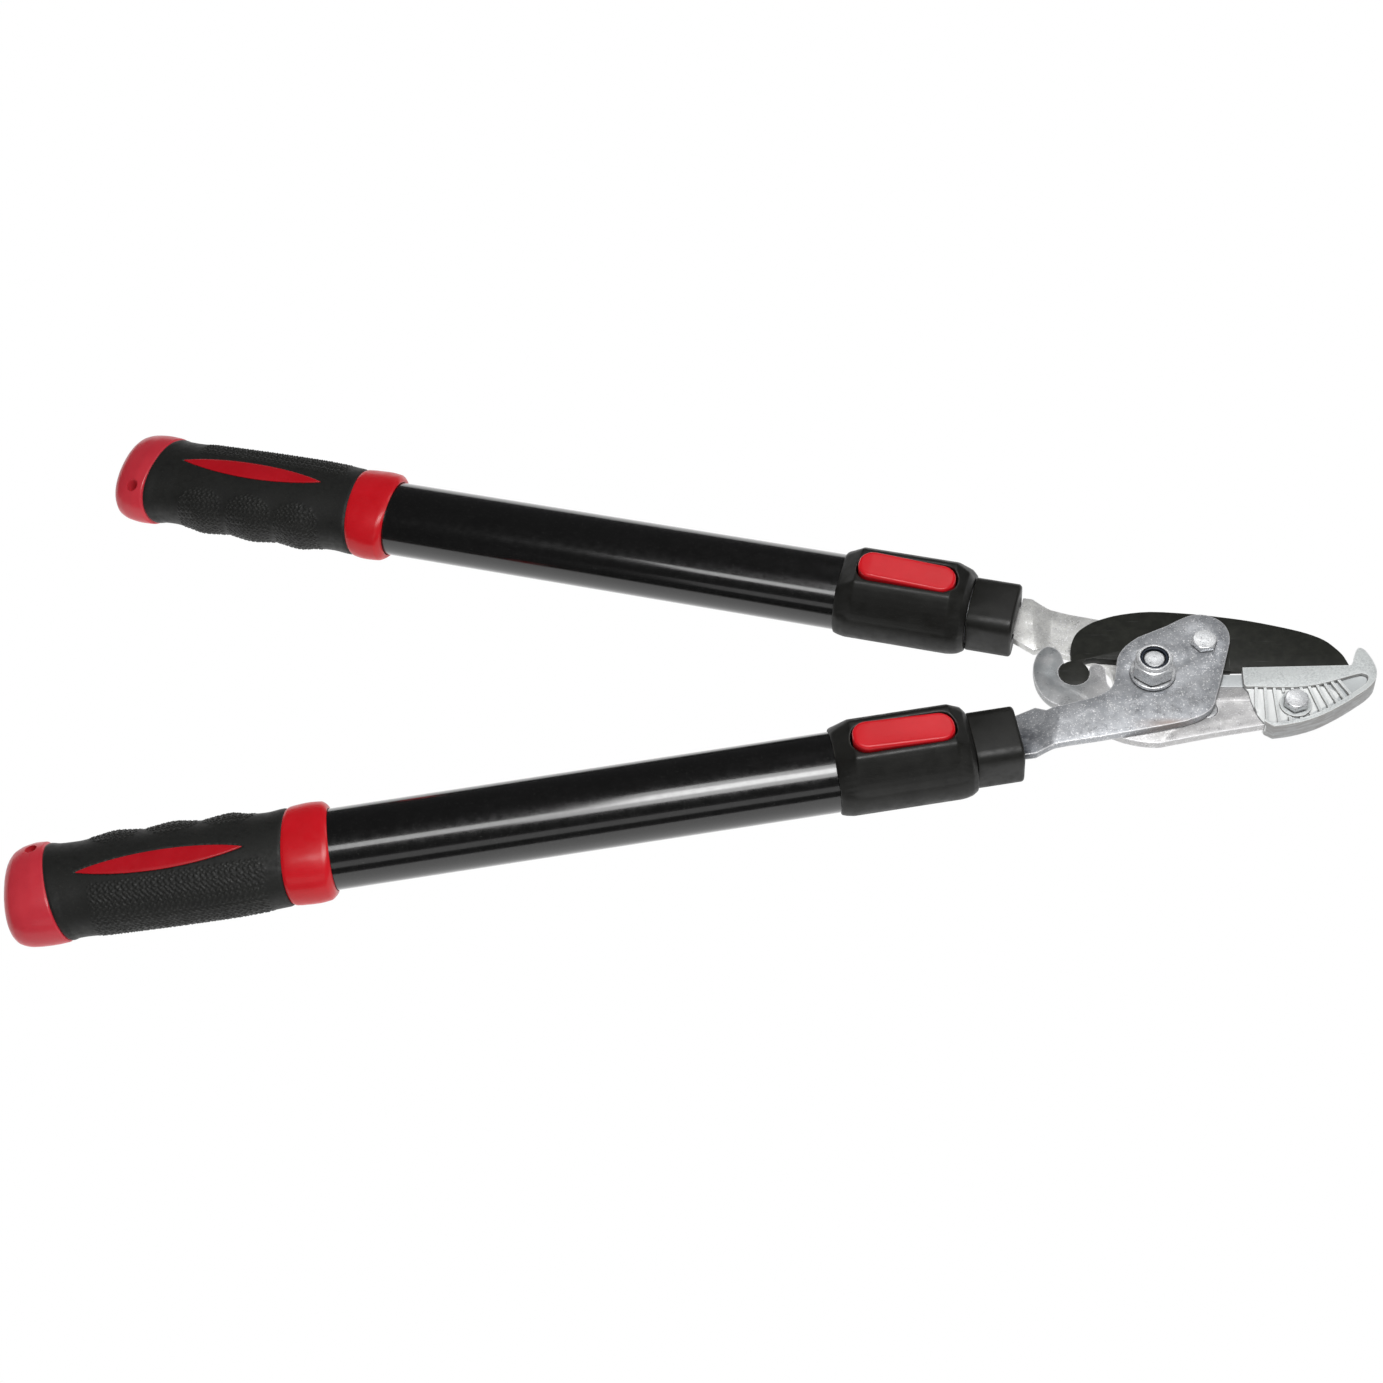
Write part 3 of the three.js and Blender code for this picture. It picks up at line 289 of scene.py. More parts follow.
def monotone(x, y, at):
    """Values at the given places on a smooth curve that turns only where its points do."""
    h = np.diff(x)
    slope = np.diff(y) / h
    tangent = np.zeros(len(x))
    for i in range(1, len(x) - 1):
        if slope[i - 1] * slope[i] > 0:
            tangent[i] = 2 * slope[i - 1] * slope[i] / (slope[i - 1] + slope[i])
    tangent[0], tangent[-1] = slope[0], slope[-1]
    i = np.clip(np.searchsorted(x, at, side="right") - 1, 0, len(h) - 1)
    u = (at - x[i]) / h[i]
    return (
        (1 + 2 * u) * (1 - u) ** 2 * y[i] + u * (1 - u) ** 2 * h[i] * tangent[i]
        + u * u * (3 - 2 * u) * y[i + 1] + u * u * (u - 1) * h[i] * tangent[i + 1]
    )


def oval_ring(s, outer, inner, half, count=ROUND):
    """Points round a squarish oval section whose outer and inner half widths differ."""
    turn = np.arange(count) * 2 * math.pi / count
    c, d = np.cos(turn), np.sin(turn)
    width = np.where(c > 0, outer, inner)
    power = 2 / SECTION_POWER
    y = width * np.sign(c) * np.abs(c) ** power
    z = half * np.sign(d) * np.abs(d) ** power
    return np.stack([np.full(count, s), y, z], axis=1)


def skinned(rings, looped=False):
    """Vertices and faces of a closed skin over rings of equal length: capped, or looped back to the first."""
    count = len(rings[0])
    points = np.concatenate(rings)
    faces = []
    last = len(rings) if looped else len(rings) - 1
    for row in range(last):
        below, above = row * count, (row + 1) % len(rings) * count
        for i in range(count):
            j = (i + 1) % count
            faces.append((below + i, below + j, above + j, above + i))
    if not looped:
        faces.append(tuple(range(count))[::-1])
        faces.append(tuple((len(rings) - 1) * count + i for i in range(count)))
    return points, faces


def oval_bar(name, side, oval, start, end):
    rings = [oval_ring(s, oval[0], oval[0], oval[1]) for s in (start, end)]
    points, faces = skinned(rings)
    return new_object(name, to_row(points, side), faces)


def rounded_outline(x, y, length, width, radius):
    points = []
    per_corner = 10
    centres = ((1, 1, 0), (-1, 1, 90), (-1, -1, 180), (1, -1, 270))
    for cx, cy, start in centres:
        for i in range(per_corner):
            turn = math.radians(start + 90 * i / (per_corner - 1))
            points.append((
                x + cx * (length / 2 - radius) + radius * math.cos(turn),
                y + cy * (width / 2 - radius) + radius * math.sin(turn),
            ))
    return points


def upright_bar(name, side, outline, bottom, top):
    rings = [np.array([(x, y, z) for x, y in outline]) for z in (bottom, top)]
    points, faces = skinned(rings)
    return new_object(name, to_row(points, side), faces)


def circle(x, y, radius):
    count = 32
    turns = [2 * math.pi * i / count for i in range(count)]
    return [(x + radius * math.cos(a), y + radius * math.sin(a)) for a in turns]


def refined(node, width, segments=2):
    """A copy of a CAD node with clean flat faces and rounded edges, which stands for the node."""
    source = frame["nodes"][node]
    obj = bpy.data.objects.new(node + "_fine", source.data.copy())
    bpy.context.scene.collection.objects.link(obj)
    obj.data.materials.clear()
    bm = bmesh.new()
    bm.from_mesh(obj.data)
    bmesh.ops.remove_doubles(bm, verts=bm.verts, dist=CAD_MERGE)
    bmesh.ops.dissolve_limit(bm, angle_limit=FLAT_ANGLE, verts=bm.verts, edges=bm.edges)
    bmesh.ops.recalc_face_normals(bm, faces=bm.faces)
    bm.to_mesh(obj.data)
    bm.free()
    bevel(obj, width, segments)
    smooth(obj, 40)
    return obj


def place(obj, body, node, material):
    """Gives a piece its material and lets it stand for a CAD node."""
    obj.data.materials.clear()
    obj.data.materials.append(material)
    for polygon in obj.data.polygons:
        polygon.material_index = 0
    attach(obj, body)
    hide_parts(node)


# ---------- materials ----------

def linear(rgb):
    """A 0 to 255 colour as the linear values that a shader socket holds."""
    values = [v / 255 for v in rgb]
    return [v / 12.92 if v <= 0.04045 else ((v + 0.055) / 1.055) ** 2.4 for v in values] + [1.0]


class Surface:
    """A principled material in the row frame's coordinates, with layers of noise."""

    def __init__(self, name, roughness, metallic, **sockets):
        self.material = bpy.data.materials.new(name)
        self.material.use_nodes = True
        self.tree = self.material.node_tree
        self.shader = next(n for n in self.tree.nodes if n.type == "BSDF_PRINCIPLED")
        self.shader.inputs["Roughness"].default_value = roughness
        self.shader.inputs["Metallic"].default_value = metallic
        for key, value in sockets.items():
            self.shader.inputs[key.replace("_", " ")].default_value = value
        self.coordinates = self.tree.nodes.new("ShaderNodeTexCoord").outputs["Object"]
        self.normal = None

    def link(self, source, target):
        self.tree.links.new(source, target)

    def mapped(self, scale):
        if isinstance(scale, (int, float)):
            return self.coordinates
        mapping = self.tree.nodes.new("ShaderNodeMapping")
        mapping.inputs["Scale"].default_value = scale
        self.link(self.coordinates, mapping.inputs["Vector"])
        return mapping.outputs["Vector"]

    def noise(self, scale, detail, roughness=0.55):
        node = self.tree.nodes.new("ShaderNodeTexNoise")
        node.inputs["Scale"].default_value = scale if isinstance(scale, (int, float)) else 1.0
        node.inputs["Detail"].default_value = detail
        node.inputs["Roughness"].default_value = roughness
        self.link(self.mapped(scale), node.inputs["Vector"])
        return node.outputs["Fac"]

    def axis(self, name):
        """One coordinate of the row frame, in metres."""
        node = self.tree.nodes.new("ShaderNodeSeparateXYZ")
        self.link(self.coordinates, node.inputs["Vector"])
        return node.outputs[name]

    def product(self, first, second):
        node = self.tree.nodes.new("ShaderNodeMath")
        node.operation = "MULTIPLY"
        self.link(first, node.inputs[0])
        self.link(second, node.inputs[1])
        return node.outputs["Value"]

    def upright(self):
        """1 on faces that stand upright, 0 on faces that lie flat."""
        coordinates = self.tree.nodes.new("ShaderNodeTexCoord")
        node = self.tree.nodes.new("ShaderNodeSeparateXYZ")
        self.link(coordinates.outputs["Normal"], node.inputs["Vector"])
        steepness = self.product(node.outputs["Z"], node.outputs["Z"])
        return self.ramp(steepness, 0.5, 0.15, 0.0, 1.0)

    def hollow(self, distance, low=0.35, high=0.85):
        """1 in inner corners and where another piece lies close, 0 on open faces."""
        return self.ramp(self.occlusion(distance, False, False), low, high, 1.0, 0.0)

    def edge(self, distance, low=0.55, high=0.9):
        """1 on the piece's outer edges and 0 on its open faces."""
        return self.ramp(self.occlusion(distance, True, True), low, high, 1.0, 0.0)

    def occlusion(self, distance, inside, only_local):
        node = self.tree.nodes.new("ShaderNodeAmbientOcclusion")
        node.samples = 8
        node.inside = inside
        node.only_local = only_local
        node.inputs["Distance"].default_value = distance * MM
        return node.outputs["AO"]

    def tone(self, scale, detail, low, high, start=0.0, end=1.0, gain=0.55):
        """Noise stretched between two of its levels."""
        return self.ramp(self.noise(scale, detail, gain), low, high, start, end)

    def ramp(self, value, low, high, start=0.0, end=1.0):
        node = self.tree.nodes.new("ShaderNodeMapRange")
        node.inputs["From Min"].default_value = low
        node.inputs["From Max"].default_value = high
        node.inputs["To Min"].default_value = start
        node.inputs["To Max"].default_value = end
        self.link(value, node.inputs["Value"])
        return node.outputs["Result"]

    def mix(self, factor, first, second):
        """The first colour where the factor is 0, the second where it is 1: sockets or 0 to 255 tuples."""
        node = self.tree.nodes.new("ShaderNodeMix")
        node.data_type = "RGBA"
        self.link(factor, node.inputs["Factor"])
        colours = [s for s in node.inputs if s.type == "RGBA"]
        for socket, value in zip(colours, (first, second)):
            if isinstance(value, tuple):
                socket.default_value = linear(value)
            else:
                self.link(value, socket)
        return next(s for s in node.outputs if s.type == "RGBA")

    def colour(self, value):
        self.link(value, self.shader.inputs["Base Color"])

    def rough(self, value):
        self.link(value, self.shader.inputs["Roughness"])

    def bump(self, height, distance, strength):
        node = self.tree.nodes.new("ShaderNodeBump")
        node.inputs["Strength"].default_value = strength
        node.inputs["Distance"].default_value = distance * MM
        self.link(height, node.inputs["Height"])
        if self.normal is not None:
            self.link(self.normal, node.inputs["Normal"])
        self.normal = node.outputs["Normal"]
        self.link(self.normal, self.shader.inputs["Normal"])


def zinc(name, dark, light, metallic, patches):
    """Zinc plated steel: soft clouds, pale specks that are painted glints, fine scratches, painted highlights
    along the edges and painted shade in corners and next to other pieces.

    Each patch is a colour, and the two ranges of X and of Y in metres over which it grows.
    """
    s = Surface(name, 0.36, metallic)
    middle = tuple((a + b) / 2 for a, b in zip(dark, light))
    deep = tuple(v * 0.72 for v in dark)
    blotch = s.mix(s.tone(45, 4, 0.36, 0.60), dark, middle)
    cloud = s.mix(s.tone(230, 6, 0.44, 0.66, gain=0.75), blotch, light)
    stain = s.mix(s.tone(430, 5, 0.60, 0.82, gain=0.7), cloud, deep)
    # pale specks painted near white: painted glints
    skin = s.mix(s.tone(1300, 3, 0.60, 0.64), stain, PAINTED_HIGHLIGHT)
    for colour, along, across in patches:
        area = s.product(s.ramp(s.axis("X"), *along), s.ramp(s.axis("Y"), *across))
        skin = s.mix(s.product(area, s.tone(120, 3, 0.25, 0.6, 0.35, 0.95)), skin, colour)
    # painted shade: dark lines in corners and where other pieces lie close
    painted_contact_shade = s.mix(s.hollow(1.2, 0.3, 0.75), skin, (60, 60, 62))
    # painted highlight along the plate's edges
    s.colour(s.mix(s.edge(1.0, 0.5, 0.9), painted_contact_shade, PAINTED_HIGHLIGHT))
    s.rough(s.tone(170, 5, 0.35, 0.65, 0.24, 0.44, gain=0.7))
    s.bump(s.noise((300, 2600, 2600), 3), 0.012, 0.4)
    s.bump(s.noise(240, 4), 0.05, 0.5)
    return s.material


def bright_steel():
    """Bright plated fasteners with painted shade in their corners and next to other pieces, and painted
    highlights on their edges.
    """
    s = Surface("bright_steel", 0.24, 0.45)
    worn = s.mix(s.tone(300, 4, 0.4, 0.65), (222, 224, 226), (240, 241, 242))
    speck = s.mix(s.tone(1300, 2, 0.62, 0.70), worn, (150, 150, 154))
    # painted shade: dark in corners and where neighbouring pieces lie close
    painted_corner_shade = s.mix(s.hollow(1.6), speck, (56, 56, 58))
    # painted highlight along the edges
    s.colour(s.mix(s.edge(0.5), painted_corner_shade, PAINTED_HIGHLIGHT))
    s.rough(s.tone(500, 3, 0.3, 0.7, 0.2, 0.34))
    s.bump(s.noise(900, 3), 0.008, 0.4)
    return s.material


def cast_metal():
    """Sand textured casting: pale faces, upright faces painted darker with a brownish tint, a darker panel
    floor, painted shade in the corners of its relief and painted highlights on its rims.
    """
    s = Surface("cast_metal", 0.5, 0.12)
    grain = s.mix(s.tone(1100, 4, 0.36, 0.66, gain=0.7), (196, 200, 200), (234, 238, 237))
    cloud = s.mix(s.tone(90, 3, 0.45, 0.7), grain, (220, 224, 223))
    # upright faces painted darker in mottled brownish patches: painted shade on the side walls, with a
    # brownish tint of the casting
    sides = s.product(s.upright(), s.tone((90, 260, 900), 4, 0.35, 0.6, 0.35, 1.0))
    wall = s.mix(sides, cloud, (158, 152, 146))
    sunk = s.mix(s.ramp(s.axis("Z"), 0.0213, 0.0197, 0.0, 0.4), wall, (184, 188, 192))
    # painted shade in the corners of the relief and where other pieces lie close
    painted_crease_shade = s.mix(s.hollow(1.1, 0.5, 0.85), sunk, (34, 36, 38))
    # painted highlight on the rims
    s.colour(s.mix(s.edge(1.0, 0.5, 0.85), painted_crease_shade, (250, 252, 251)))
    s.rough(s.tone(700, 3, 0.3, 0.7, 0.42, 0.6))
    s.bump(s.noise(1500, 4, 0.7), 0.05, 0.6)
    return s.material


def coated_blade():
    """Matte dark coating with a fine orange peel, rubbed grey streaks and a painted highlight along its
    edges.
    """
    s = Surface("coated_blade", 0.5, 0.0, Specular_IOR_Level=0.32)
    base = s.mix(s.tone(240, 4, 0.4, 0.7), (33, 34, 30), (43, 44, 39))
    rubbed = s.mix(s.tone((60, 900, 900), 3, 0.66, 0.8), base, (74, 74, 74))
    # painted highlight along the blade's edges
    s.colour(s.mix(s.edge(0.5), rubbed, (92, 92, 90)))
    s.rough(s.tone(500, 3, 0.3, 0.7, 0.42, 0.58))
    s.bump(s.noise(1800, 3), 0.04, 0.5)
    return s.material


def tube_paint():
    """Gloss black paint under a clear coat, with a faint orange peel and dust."""
    s = Surface("tube_paint", 0.25, 0.0, Coat_Weight=1.0, Coat_Roughness=0.1, Coat_IOR=1.5)
    base = s.mix(s.tone(120, 3, 0.4, 0.7), (8, 8, 7), (12, 12, 11))
    s.colour(s.mix(s.tone(2600, 1, 0.70, 0.76), base, (70, 70, 68)))
    s.rough(s.tone(300, 4, 0.3, 0.7, 0.16, 0.26))
    s.bump(s.noise(700, 2), 0.012, 0.3)
    return s.material


def inner_metal():
    """Anodised tube with drawing lines along its length."""
    s = Surface("inner_metal", 0.34, 0.9)
    s.colour(s.mix(s.tone(350, 4, 0.4, 0.7), (186, 189, 192), (208, 210, 212)))
    s.rough(s.tone(260, 4, 0.3, 0.7, 0.28, 0.42))
    s.bump(s.noise((80, 1800, 1800), 3), 0.03, 0.5)
    return s.material


def black_plastic():
    """Spark-eroded black moulding with paler rubbed areas, and paler edges that are partly wear and partly a
    painted highlight.
    """
    s = Surface("black_plastic", 0.48, 0.0, Specular_IOR_Level=0.45)
    base = s.mix(s.tone(70, 4, 0.42, 0.7), (18, 18, 15), (28, 28, 25))
    rubbed = s.mix(s.tone(900, 3, 0.62, 0.8), base, (42, 42, 39))
    # edges painted paler: wear along them, and a painted highlight
    s.colour(s.mix(s.edge(0.9), rubbed, (66, 66, 62)))
    s.rough(s.tone(200, 3, 0.3, 0.7, 0.36, 0.56))
    s.bump(s.noise(2200, 3), 0.05, 0.6)
    return s.material


def rubber():
    """Soft black grip with pale dust specks and a painted highlight on the tops of its knurling."""
    s = Surface("grip_rubber", 0.62, 0.0, Specular_IOR_Level=0.5, Sheen_Weight=0.25, Sheen_Roughness=0.4)
    base = s.mix(s.tone(60, 4, 0.4, 0.7), (13, 14, 11), (20, 21, 17))
    dust = s.mix(s.tone(1400, 3, 0.6, 0.8), base, (46, 47, 42))
    # painted highlight on the knurling's tops and edges
    s.colour(s.mix(s.edge(0.5, 0.6, 0.9), dust, (58, 58, 54)))
    s.rough(s.tone(400, 3, 0.3, 0.7, 0.5, 0.74))
    s.bump(s.noise(2600, 3), 0.06, 0.6)
    return s.material


def red_plastic(name, first, second):
    """Satin moulding between two close reds, with fine darker specks."""
    s = Surface(name, 0.36, 0.0, Specular_IOR_Level=0.3, Coat_Weight=0.25, Coat_Roughness=0.15,
                Subsurface_Weight=0.04, Subsurface_Scale=0.002)
    base = s.mix(s.tone(45, 4, 0.38, 0.66), first, second)
    s.colour(s.mix(s.tone(1700, 2, 0.68, 0.8), base, tuple(v * 0.8 for v in first)))
    s.rough(s.tone(260, 3, 0.3, 0.7, 0.28, 0.44))
    s.bump(s.noise(1500, 3), 0.035, 0.5)
    return s.material


def nylon():
    """Dark blue insert of the lock nut."""
    s = Surface("nylon", 0.45, 0.0)
    s.colour(s.mix(s.tone(500, 3, 0.4, 0.7), (24, 32, 44), (38, 48, 62)))
    s.bump(s.noise(1500, 3), 0.04, 0.5)
    return s.material


# ---------- pieces of a handle ----------

def outer_tube(prefix, side):
    """Oval tube, open at both ends."""
    start, end, width, half, wall = OUTER_TUBE
    ends = ((start, TUBE_EDGE), (start + TUBE_EDGE, 0), (end - TUBE_EDGE, 0), (end, TUBE_EDGE))
    rings = []
    for s, inset in ends:
        rings.append(oval_ring(s, width - inset, width - inset, half - inset))
    for s in (end, start):
        rings.append(oval_ring(s, width - wall, width - wall, half - wall))
    points, faces = skinned(rings, looped=True)
    obj = new_object(f"{prefix}_tube_skin", to_row(points, side), faces)
    smooth(obj)
    return obj


def collar(prefix, side):
    """Red ring at the grip's mouth, with the tube passing through it."""
    rings = [oval_ring(*row) for row in resample(COLLAR_SKIN, COLLAR_STEPS)]
    width, half = TUBE_SOCKET_OVAL
    for s in (COLLAR_SKIN[-1][0], COLLAR_SKIN[0][0]):
        rings.append(oval_ring(s, width, width, half))
    points, faces = skinned(rings, looped=True)
    obj = new_object(f"{prefix}_collar_skin", to_row(leaning(points), side), faces)
    smooth(obj, 50)
    return obj


def end_cap(prefix, side):
    """Domed cap with a hole through it to hang the tool by."""
    points, faces = skinned([oval_ring(*row) for row in resample(CAP_SKIN, CAP_STEPS)])
    obj = new_object(f"{prefix}_cap_skin", to_row(leaning(points), side), faces)
    x, y, radius = HANG_HOLE
    boolean(obj, upright_bar("tool", side, circle(x, y, radius), -TOOL_REACH, TOOL_REACH), "DIFFERENCE")
    bevel(obj, CAP_ROUND, 2, 55)
    smooth(obj, 50)
    return obj


def bumps(s, a, pitch):
    """Diamond grid of round bumps, with enough sway that the rows don't look ruled."""
    u = s + 0.35 * np.sin(1.9 * a) + 0.25 * np.sin(0.7 * s)
    v = a + 0.35 * np.sin(2.3 * s) + 0.25 * np.sin(1.1 * a)
    return (np.cos(math.pi * (u + v) / pitch) * np.cos(math.pi * (u - v) / pitch)) ** 2


def band(x, low, high, soft):
    """1 between low and high and 0 outside them, with a soft change just inside each."""
    up = np.clip((x - low) / soft, 0, 1)
    down = np.clip((high - x) / soft, 0, 1)
    return up * up * (3 - 2 * up) * down * down * (3 - 2 * down)


def lens_half(s):
    """Half width of the lens's pocket at a station: a long oval with pointed ends."""
    start, end, half, _ = LENS
    x = np.clip((s - start) / (end - start) * 2 - 1, -1, 1)
    return half * (1 - x * x) ** LENS_POINT


def grip_height(s, y, arc):
    """Moulded relief of the grip, in millimetres, at a point of its skin."""
    height, pitch = OUTER_RELIEF
    outer = band(y, OUTER_FROM, GRIP_BEYOND, OUTER_FADE[0]) * band(s, *OUTER_STATIONS, OUTER_FADE[1])
    h = height * outer * bumps(s, arc, pitch)
    height, pitch = FINGER_RELIEF
    for centre in FINGER_CENTRES:
        reach = np.clip(1 - ((s - centre) / FINGER_REACH) ** 2, 0, 1)
        start = FINGER_FROM[0] + FINGER_FROM[1] * (1 - reach)
        patch = band(-y, start, GRIP_BEYOND, FINGER_FADE) * np.clip(reach * FINGER_STEEPNESS, 0, 1)
        h += height * patch * bumps(s, arc, pitch)
    return h


def grip(prefix, side):
    """Rubber grip with moulded relief and a pocket for the lens, open through its length for the tube."""
    stations, count = GRIP_STEPS
    rings = []
    for row in resample(GRIP_SKIN, stations):
        s = row[0]
        ring = oval_ring(*row, count)
        step = np.linalg.norm(np.roll(ring, -1, axis=0) - ring, axis=1)
        arc = np.concatenate([[0], np.cumsum(step)[:-1]])
        tangent = np.roll(ring, -1, axis=0) - np.roll(ring, 1, axis=0)
        normal = np.stack([np.zeros(count), tangent[:, 2], -tangent[:, 1]], axis=1)
        normal /= np.linalg.norm(normal, axis=1)[:, None]
        rise = grip_height(ring[:, 0], ring[:, 1], arc)
        inside = (ring[:, 2] > 0) & (np.abs(ring[:, 1] - LENS[3]) < lens_half(s))
        rise[inside] -= LENS_POCKET
        rings.append(ring + normal * rise[:, None])
    width, half = TUBE_SOCKET_OVAL
    for s in (GRIP_SKIN[-1][0], GRIP_SKIN[0][0]):
        rings.append(oval_ring(s, width, width, half, count))
    points, faces = skinned(rings, looped=True)
    obj = new_object(f"{prefix}_grip_skin", to_row(leaning(points), side), faces)
    smooth(obj, 60)
    return obj


def inlay(prefix, side):
    """Crowned red lens set into the grip's upper face."""
    start, end, _, offset = LENS
    along, across = LENS_STEPS
    table = np.array(GRIP_SKIN, float)
    top, bottom = [], []
    for s in np.linspace(start + LENS_GAP[0], end - LENS_GAP[0], along):
        reach = max(LENS_LEAST, float(lens_half(s)) - LENS_GAP[1])
        outer, inner, height = (monotone(table[:, 0], table[:, k], np.array([s]))[0] for k in (1, 2, 3))
        for i in range(across):
            u = -1 + 2 * i / (across - 1)
            y = offset + reach * u
            width = outer if y > 0 else inner
            z = height * (1 - abs(y / width) ** SECTION_POWER) ** (1 / SECTION_POWER)
            crown = LENS_CROWN * min(1.0, (1 - abs(u)) * reach / LENS_CROWN_RUN)
            top.append((s, y, z - LENS_TOP + crown))
            bottom.append((s, y, z - LENS_BOTTOM))
    points = np.array(top + bottom)
    below = len(top)
    faces = []
    for r in range(along - 1):
        for i in range(across - 1):
            a = r * across + i
            faces.append((a, a + 1, a + across + 1, a + across))
            faces.append((below + a, below + a + across, below + a + across + 1, below + a + 1))
        for i in (0, across - 1):
            a = r * across + i
            faces.append((a, a + across, below + a + across, below + a))
    for r in (0, along - 1):
        for i in range(across - 1):
            a = r * across + i
            faces.append((a, a + 1, below + a + 1, below + a))
    obj = new_object(f"{prefix}_inlay_skin", to_row(points, side), faces)
    smooth(obj, 50)
    return obj


def saddle(name, side):
    """Platform under the button, with rounded shoulders down to the housing's sides."""
    turns = [math.pi / 2 * k / SHOULDER_STEPS for k in range(SHOULDER_STEPS, -1, -1)]
    rings = []
    for s, top, flat, width, low in SADDLE:
        outer = [(
            flat + (width - flat) * math.sin(turn) ** SHOULDER_POWER,
            low + (top - low) * math.cos(turn) ** SHOULDER_POWER,
        ) for turn in turns]
        inner = [(-y, z) for y, z in outer[::-1]]
        rings.append(np.array([(s, y, z) for y, z in outer + inner + SADDLE_FOOT]))
    points, faces = skinned(rings)
    return new_object(name, to_row(points, side), faces)


def lock_housing(prefix, side):
    """Moulded housing at the outer tube's mouth, hollowed for both tubes, the button and a screw."""
    points, faces = skinned([oval_ring(*row) for row in resample(HOUSING_SKIN, HOUSING_STEPS)])
    obj = new_object(f"{prefix}_housing_skin", to_row(points, side), faces)
    boolean(obj, saddle("tool", side), "UNION")
    station, length, width, corner = BUTTON
    longer, wider, rounder = POCKET_GAP
    pocket = rounded_outline(station, 0, length + longer, width + wider, corner + rounder)
    first, last = HOUSING_SKIN[0][0], HOUSING_SKIN[-1][0]
    back, radius, top = SCREW_HOLE
    screw = circle(last - back, 0, radius)
    boolean(obj, upright_bar("tool", side, pocket, POCKET_FLOOR, TOOL_REACH), "DIFFERENCE")
    boolean(obj, oval_bar("tool", side, INNER_OVAL, first - 1, last + 1), "DIFFERENCE")
    boolean(obj, oval_bar("tool", side, TUBE_SOCKET_OVAL, TUBE_SOCKET_START, last + 1), "DIFFERENCE")
    boolean(obj, upright_bar("tool", side, screw, -TOOL_REACH, top), "DIFFERENCE")
    remesh(obj, HOUSING_VOXEL, HOUSING_RELAXING)
    smooth(obj, 60)
    return obj


def lock_button(prefix, side):
    """Rounded button whose top slopes up to the rear, with a soft edge all round."""
    station, length, width, corner = BUTTON
    base, front, rear = BUTTON_Z
    levels = [(inset, base + z, 0.0) for inset, z in BUTTON_CHAMFER]
    for k in range(ROUND_STEPS + 1):
        turn = math.pi / 2 * k / ROUND_STEPS
        levels.append((BUTTON_ROUND * (1 - math.cos(turn)), None, BUTTON_ROUND * (1 - math.sin(turn))))
    for k in range(1, CROWN_STEPS + 1):
        inset = BUTTON_ROUND + (width / 2 - BUTTON_ROUND - BUTTON_RIDGE) * k / CROWN_STEPS
        levels.append((inset, None, -BUTTON_CROWN * math.sin(math.pi / 2 * k / CROWN_STEPS)))
    rings = []
    for inset, z, drop in levels:
        radius = max(LEAST_CORNER, corner - inset)
        outline = rounded_outline(station, 0, length - 2 * inset, width - 2 * inset, radius)
        ring = []
        for x, y in outline:
            top = front + (rear - front) * (x - station + length / 2) / length
            ring.append((x, y, z if z is not None else top - BUTTON_SINK - drop))
        rings.append(np.array(ring))
    points, faces = skinned(rings)
    obj = new_object(f"{prefix}_button_skin", to_row(points, side), faces)
    smooth(obj, 50)
    return obj


def build_handle(prefix, side, m):
    pieces = [
        ("outer_tube", outer_tube, "slider", "tube_paint", "tube"),
        ("grip_collar", collar, "slider", "red_plastic", "red"),
        ("grip", grip, "slider", "rubber", "rubber"),
        ("grip_inlay", inlay, "slider", "red_plastic", "inlay"),
        ("end_cap", end_cap, "slider", "red_plastic", "cap"),
        ("lock_housing", lock_housing, "slider", "black_plastic", "plastic"),
        ("lock_button", lock_button, "button", "red_plastic", "red"),
    ]
    for node, make, body, slot, material in pieces:
        place(make(prefix, side), f"{prefix}_{body}", f"{prefix}_{node}", m[material])
    ferrule = f"{prefix}_ferrule"
    place(refined(ferrule, FERRULE_ROUND, 3), f"{prefix}_handle", ferrule, m["plastic"])
    kept = {
        "inner_tube": "inner", "slide_bush": "plastic", "roll_pin_1": "steel", "roll_pin_2": "steel",
        "housing_screw": "steel", "lock_pin": "steel", "button_hinge_pin": "steel", "button_spring": "steel",
    }
    for node, material in kept.items():
        carry(f"{prefix}_{node}", m[material])


def carry(node, material):
    """Keeps a CAD node and gives it a procedural material."""
    obj = frame["nodes"][node]
    obj.data.materials.clear()
    obj.data.materials.append(material)


# ---------- head ----------

def build_head(m):
    pieces = [
        ("anvil_arm", 0.4, "anvil_arm", "zinc_plate", "arm"),
        ("anvil_jaw", 0.35, "anvil_arm", "cast_metal", "cast"),
        ("anvil_bolt", 0.25, "anvil_arm", "bright_steel", "steel"),
        ("anvil_nut", 0.25, "anvil_arm", "bright_steel", "steel"),
        ("cutting_blade", 0.3, "blade", "coated_blade", "blade"),
        ("upper_plate", 0.4, "upper_handle", "zinc_plate", "upper_zinc"),
        ("lower_plate", 0.4, "lower_handle", "zinc_plate", "lower_zinc"),
        ("main_bolt", 0.25, "upper_handle", "bright_steel", "steel"),
        ("main_nut", 0.25, "upper_handle", "bright_steel", "steel"),
        ("front_washer", 0.25, "upper_handle", "bright_steel", "steel"),
        ("back_washer", 0.25, "upper_handle", "bright_steel", "steel"),
        ("pivot_spacer", 0.25, "upper_handle", "bright_steel", "steel"),
        ("nut_lock_ring", 0.2, "upper_handle", "nylon", "nylon"),
        ("arm_pivot_pin", 0.25, "upper_handle", "bright_steel", "steel"),
        ("blade_pivot_pin", 0.25, "lower_handle", "bright_steel", "steel"),
    ]
    for node, edge, body, slot, material in pieces:
        place(refined(node, edge), body, node, m[material])


# ---------- stage ----------

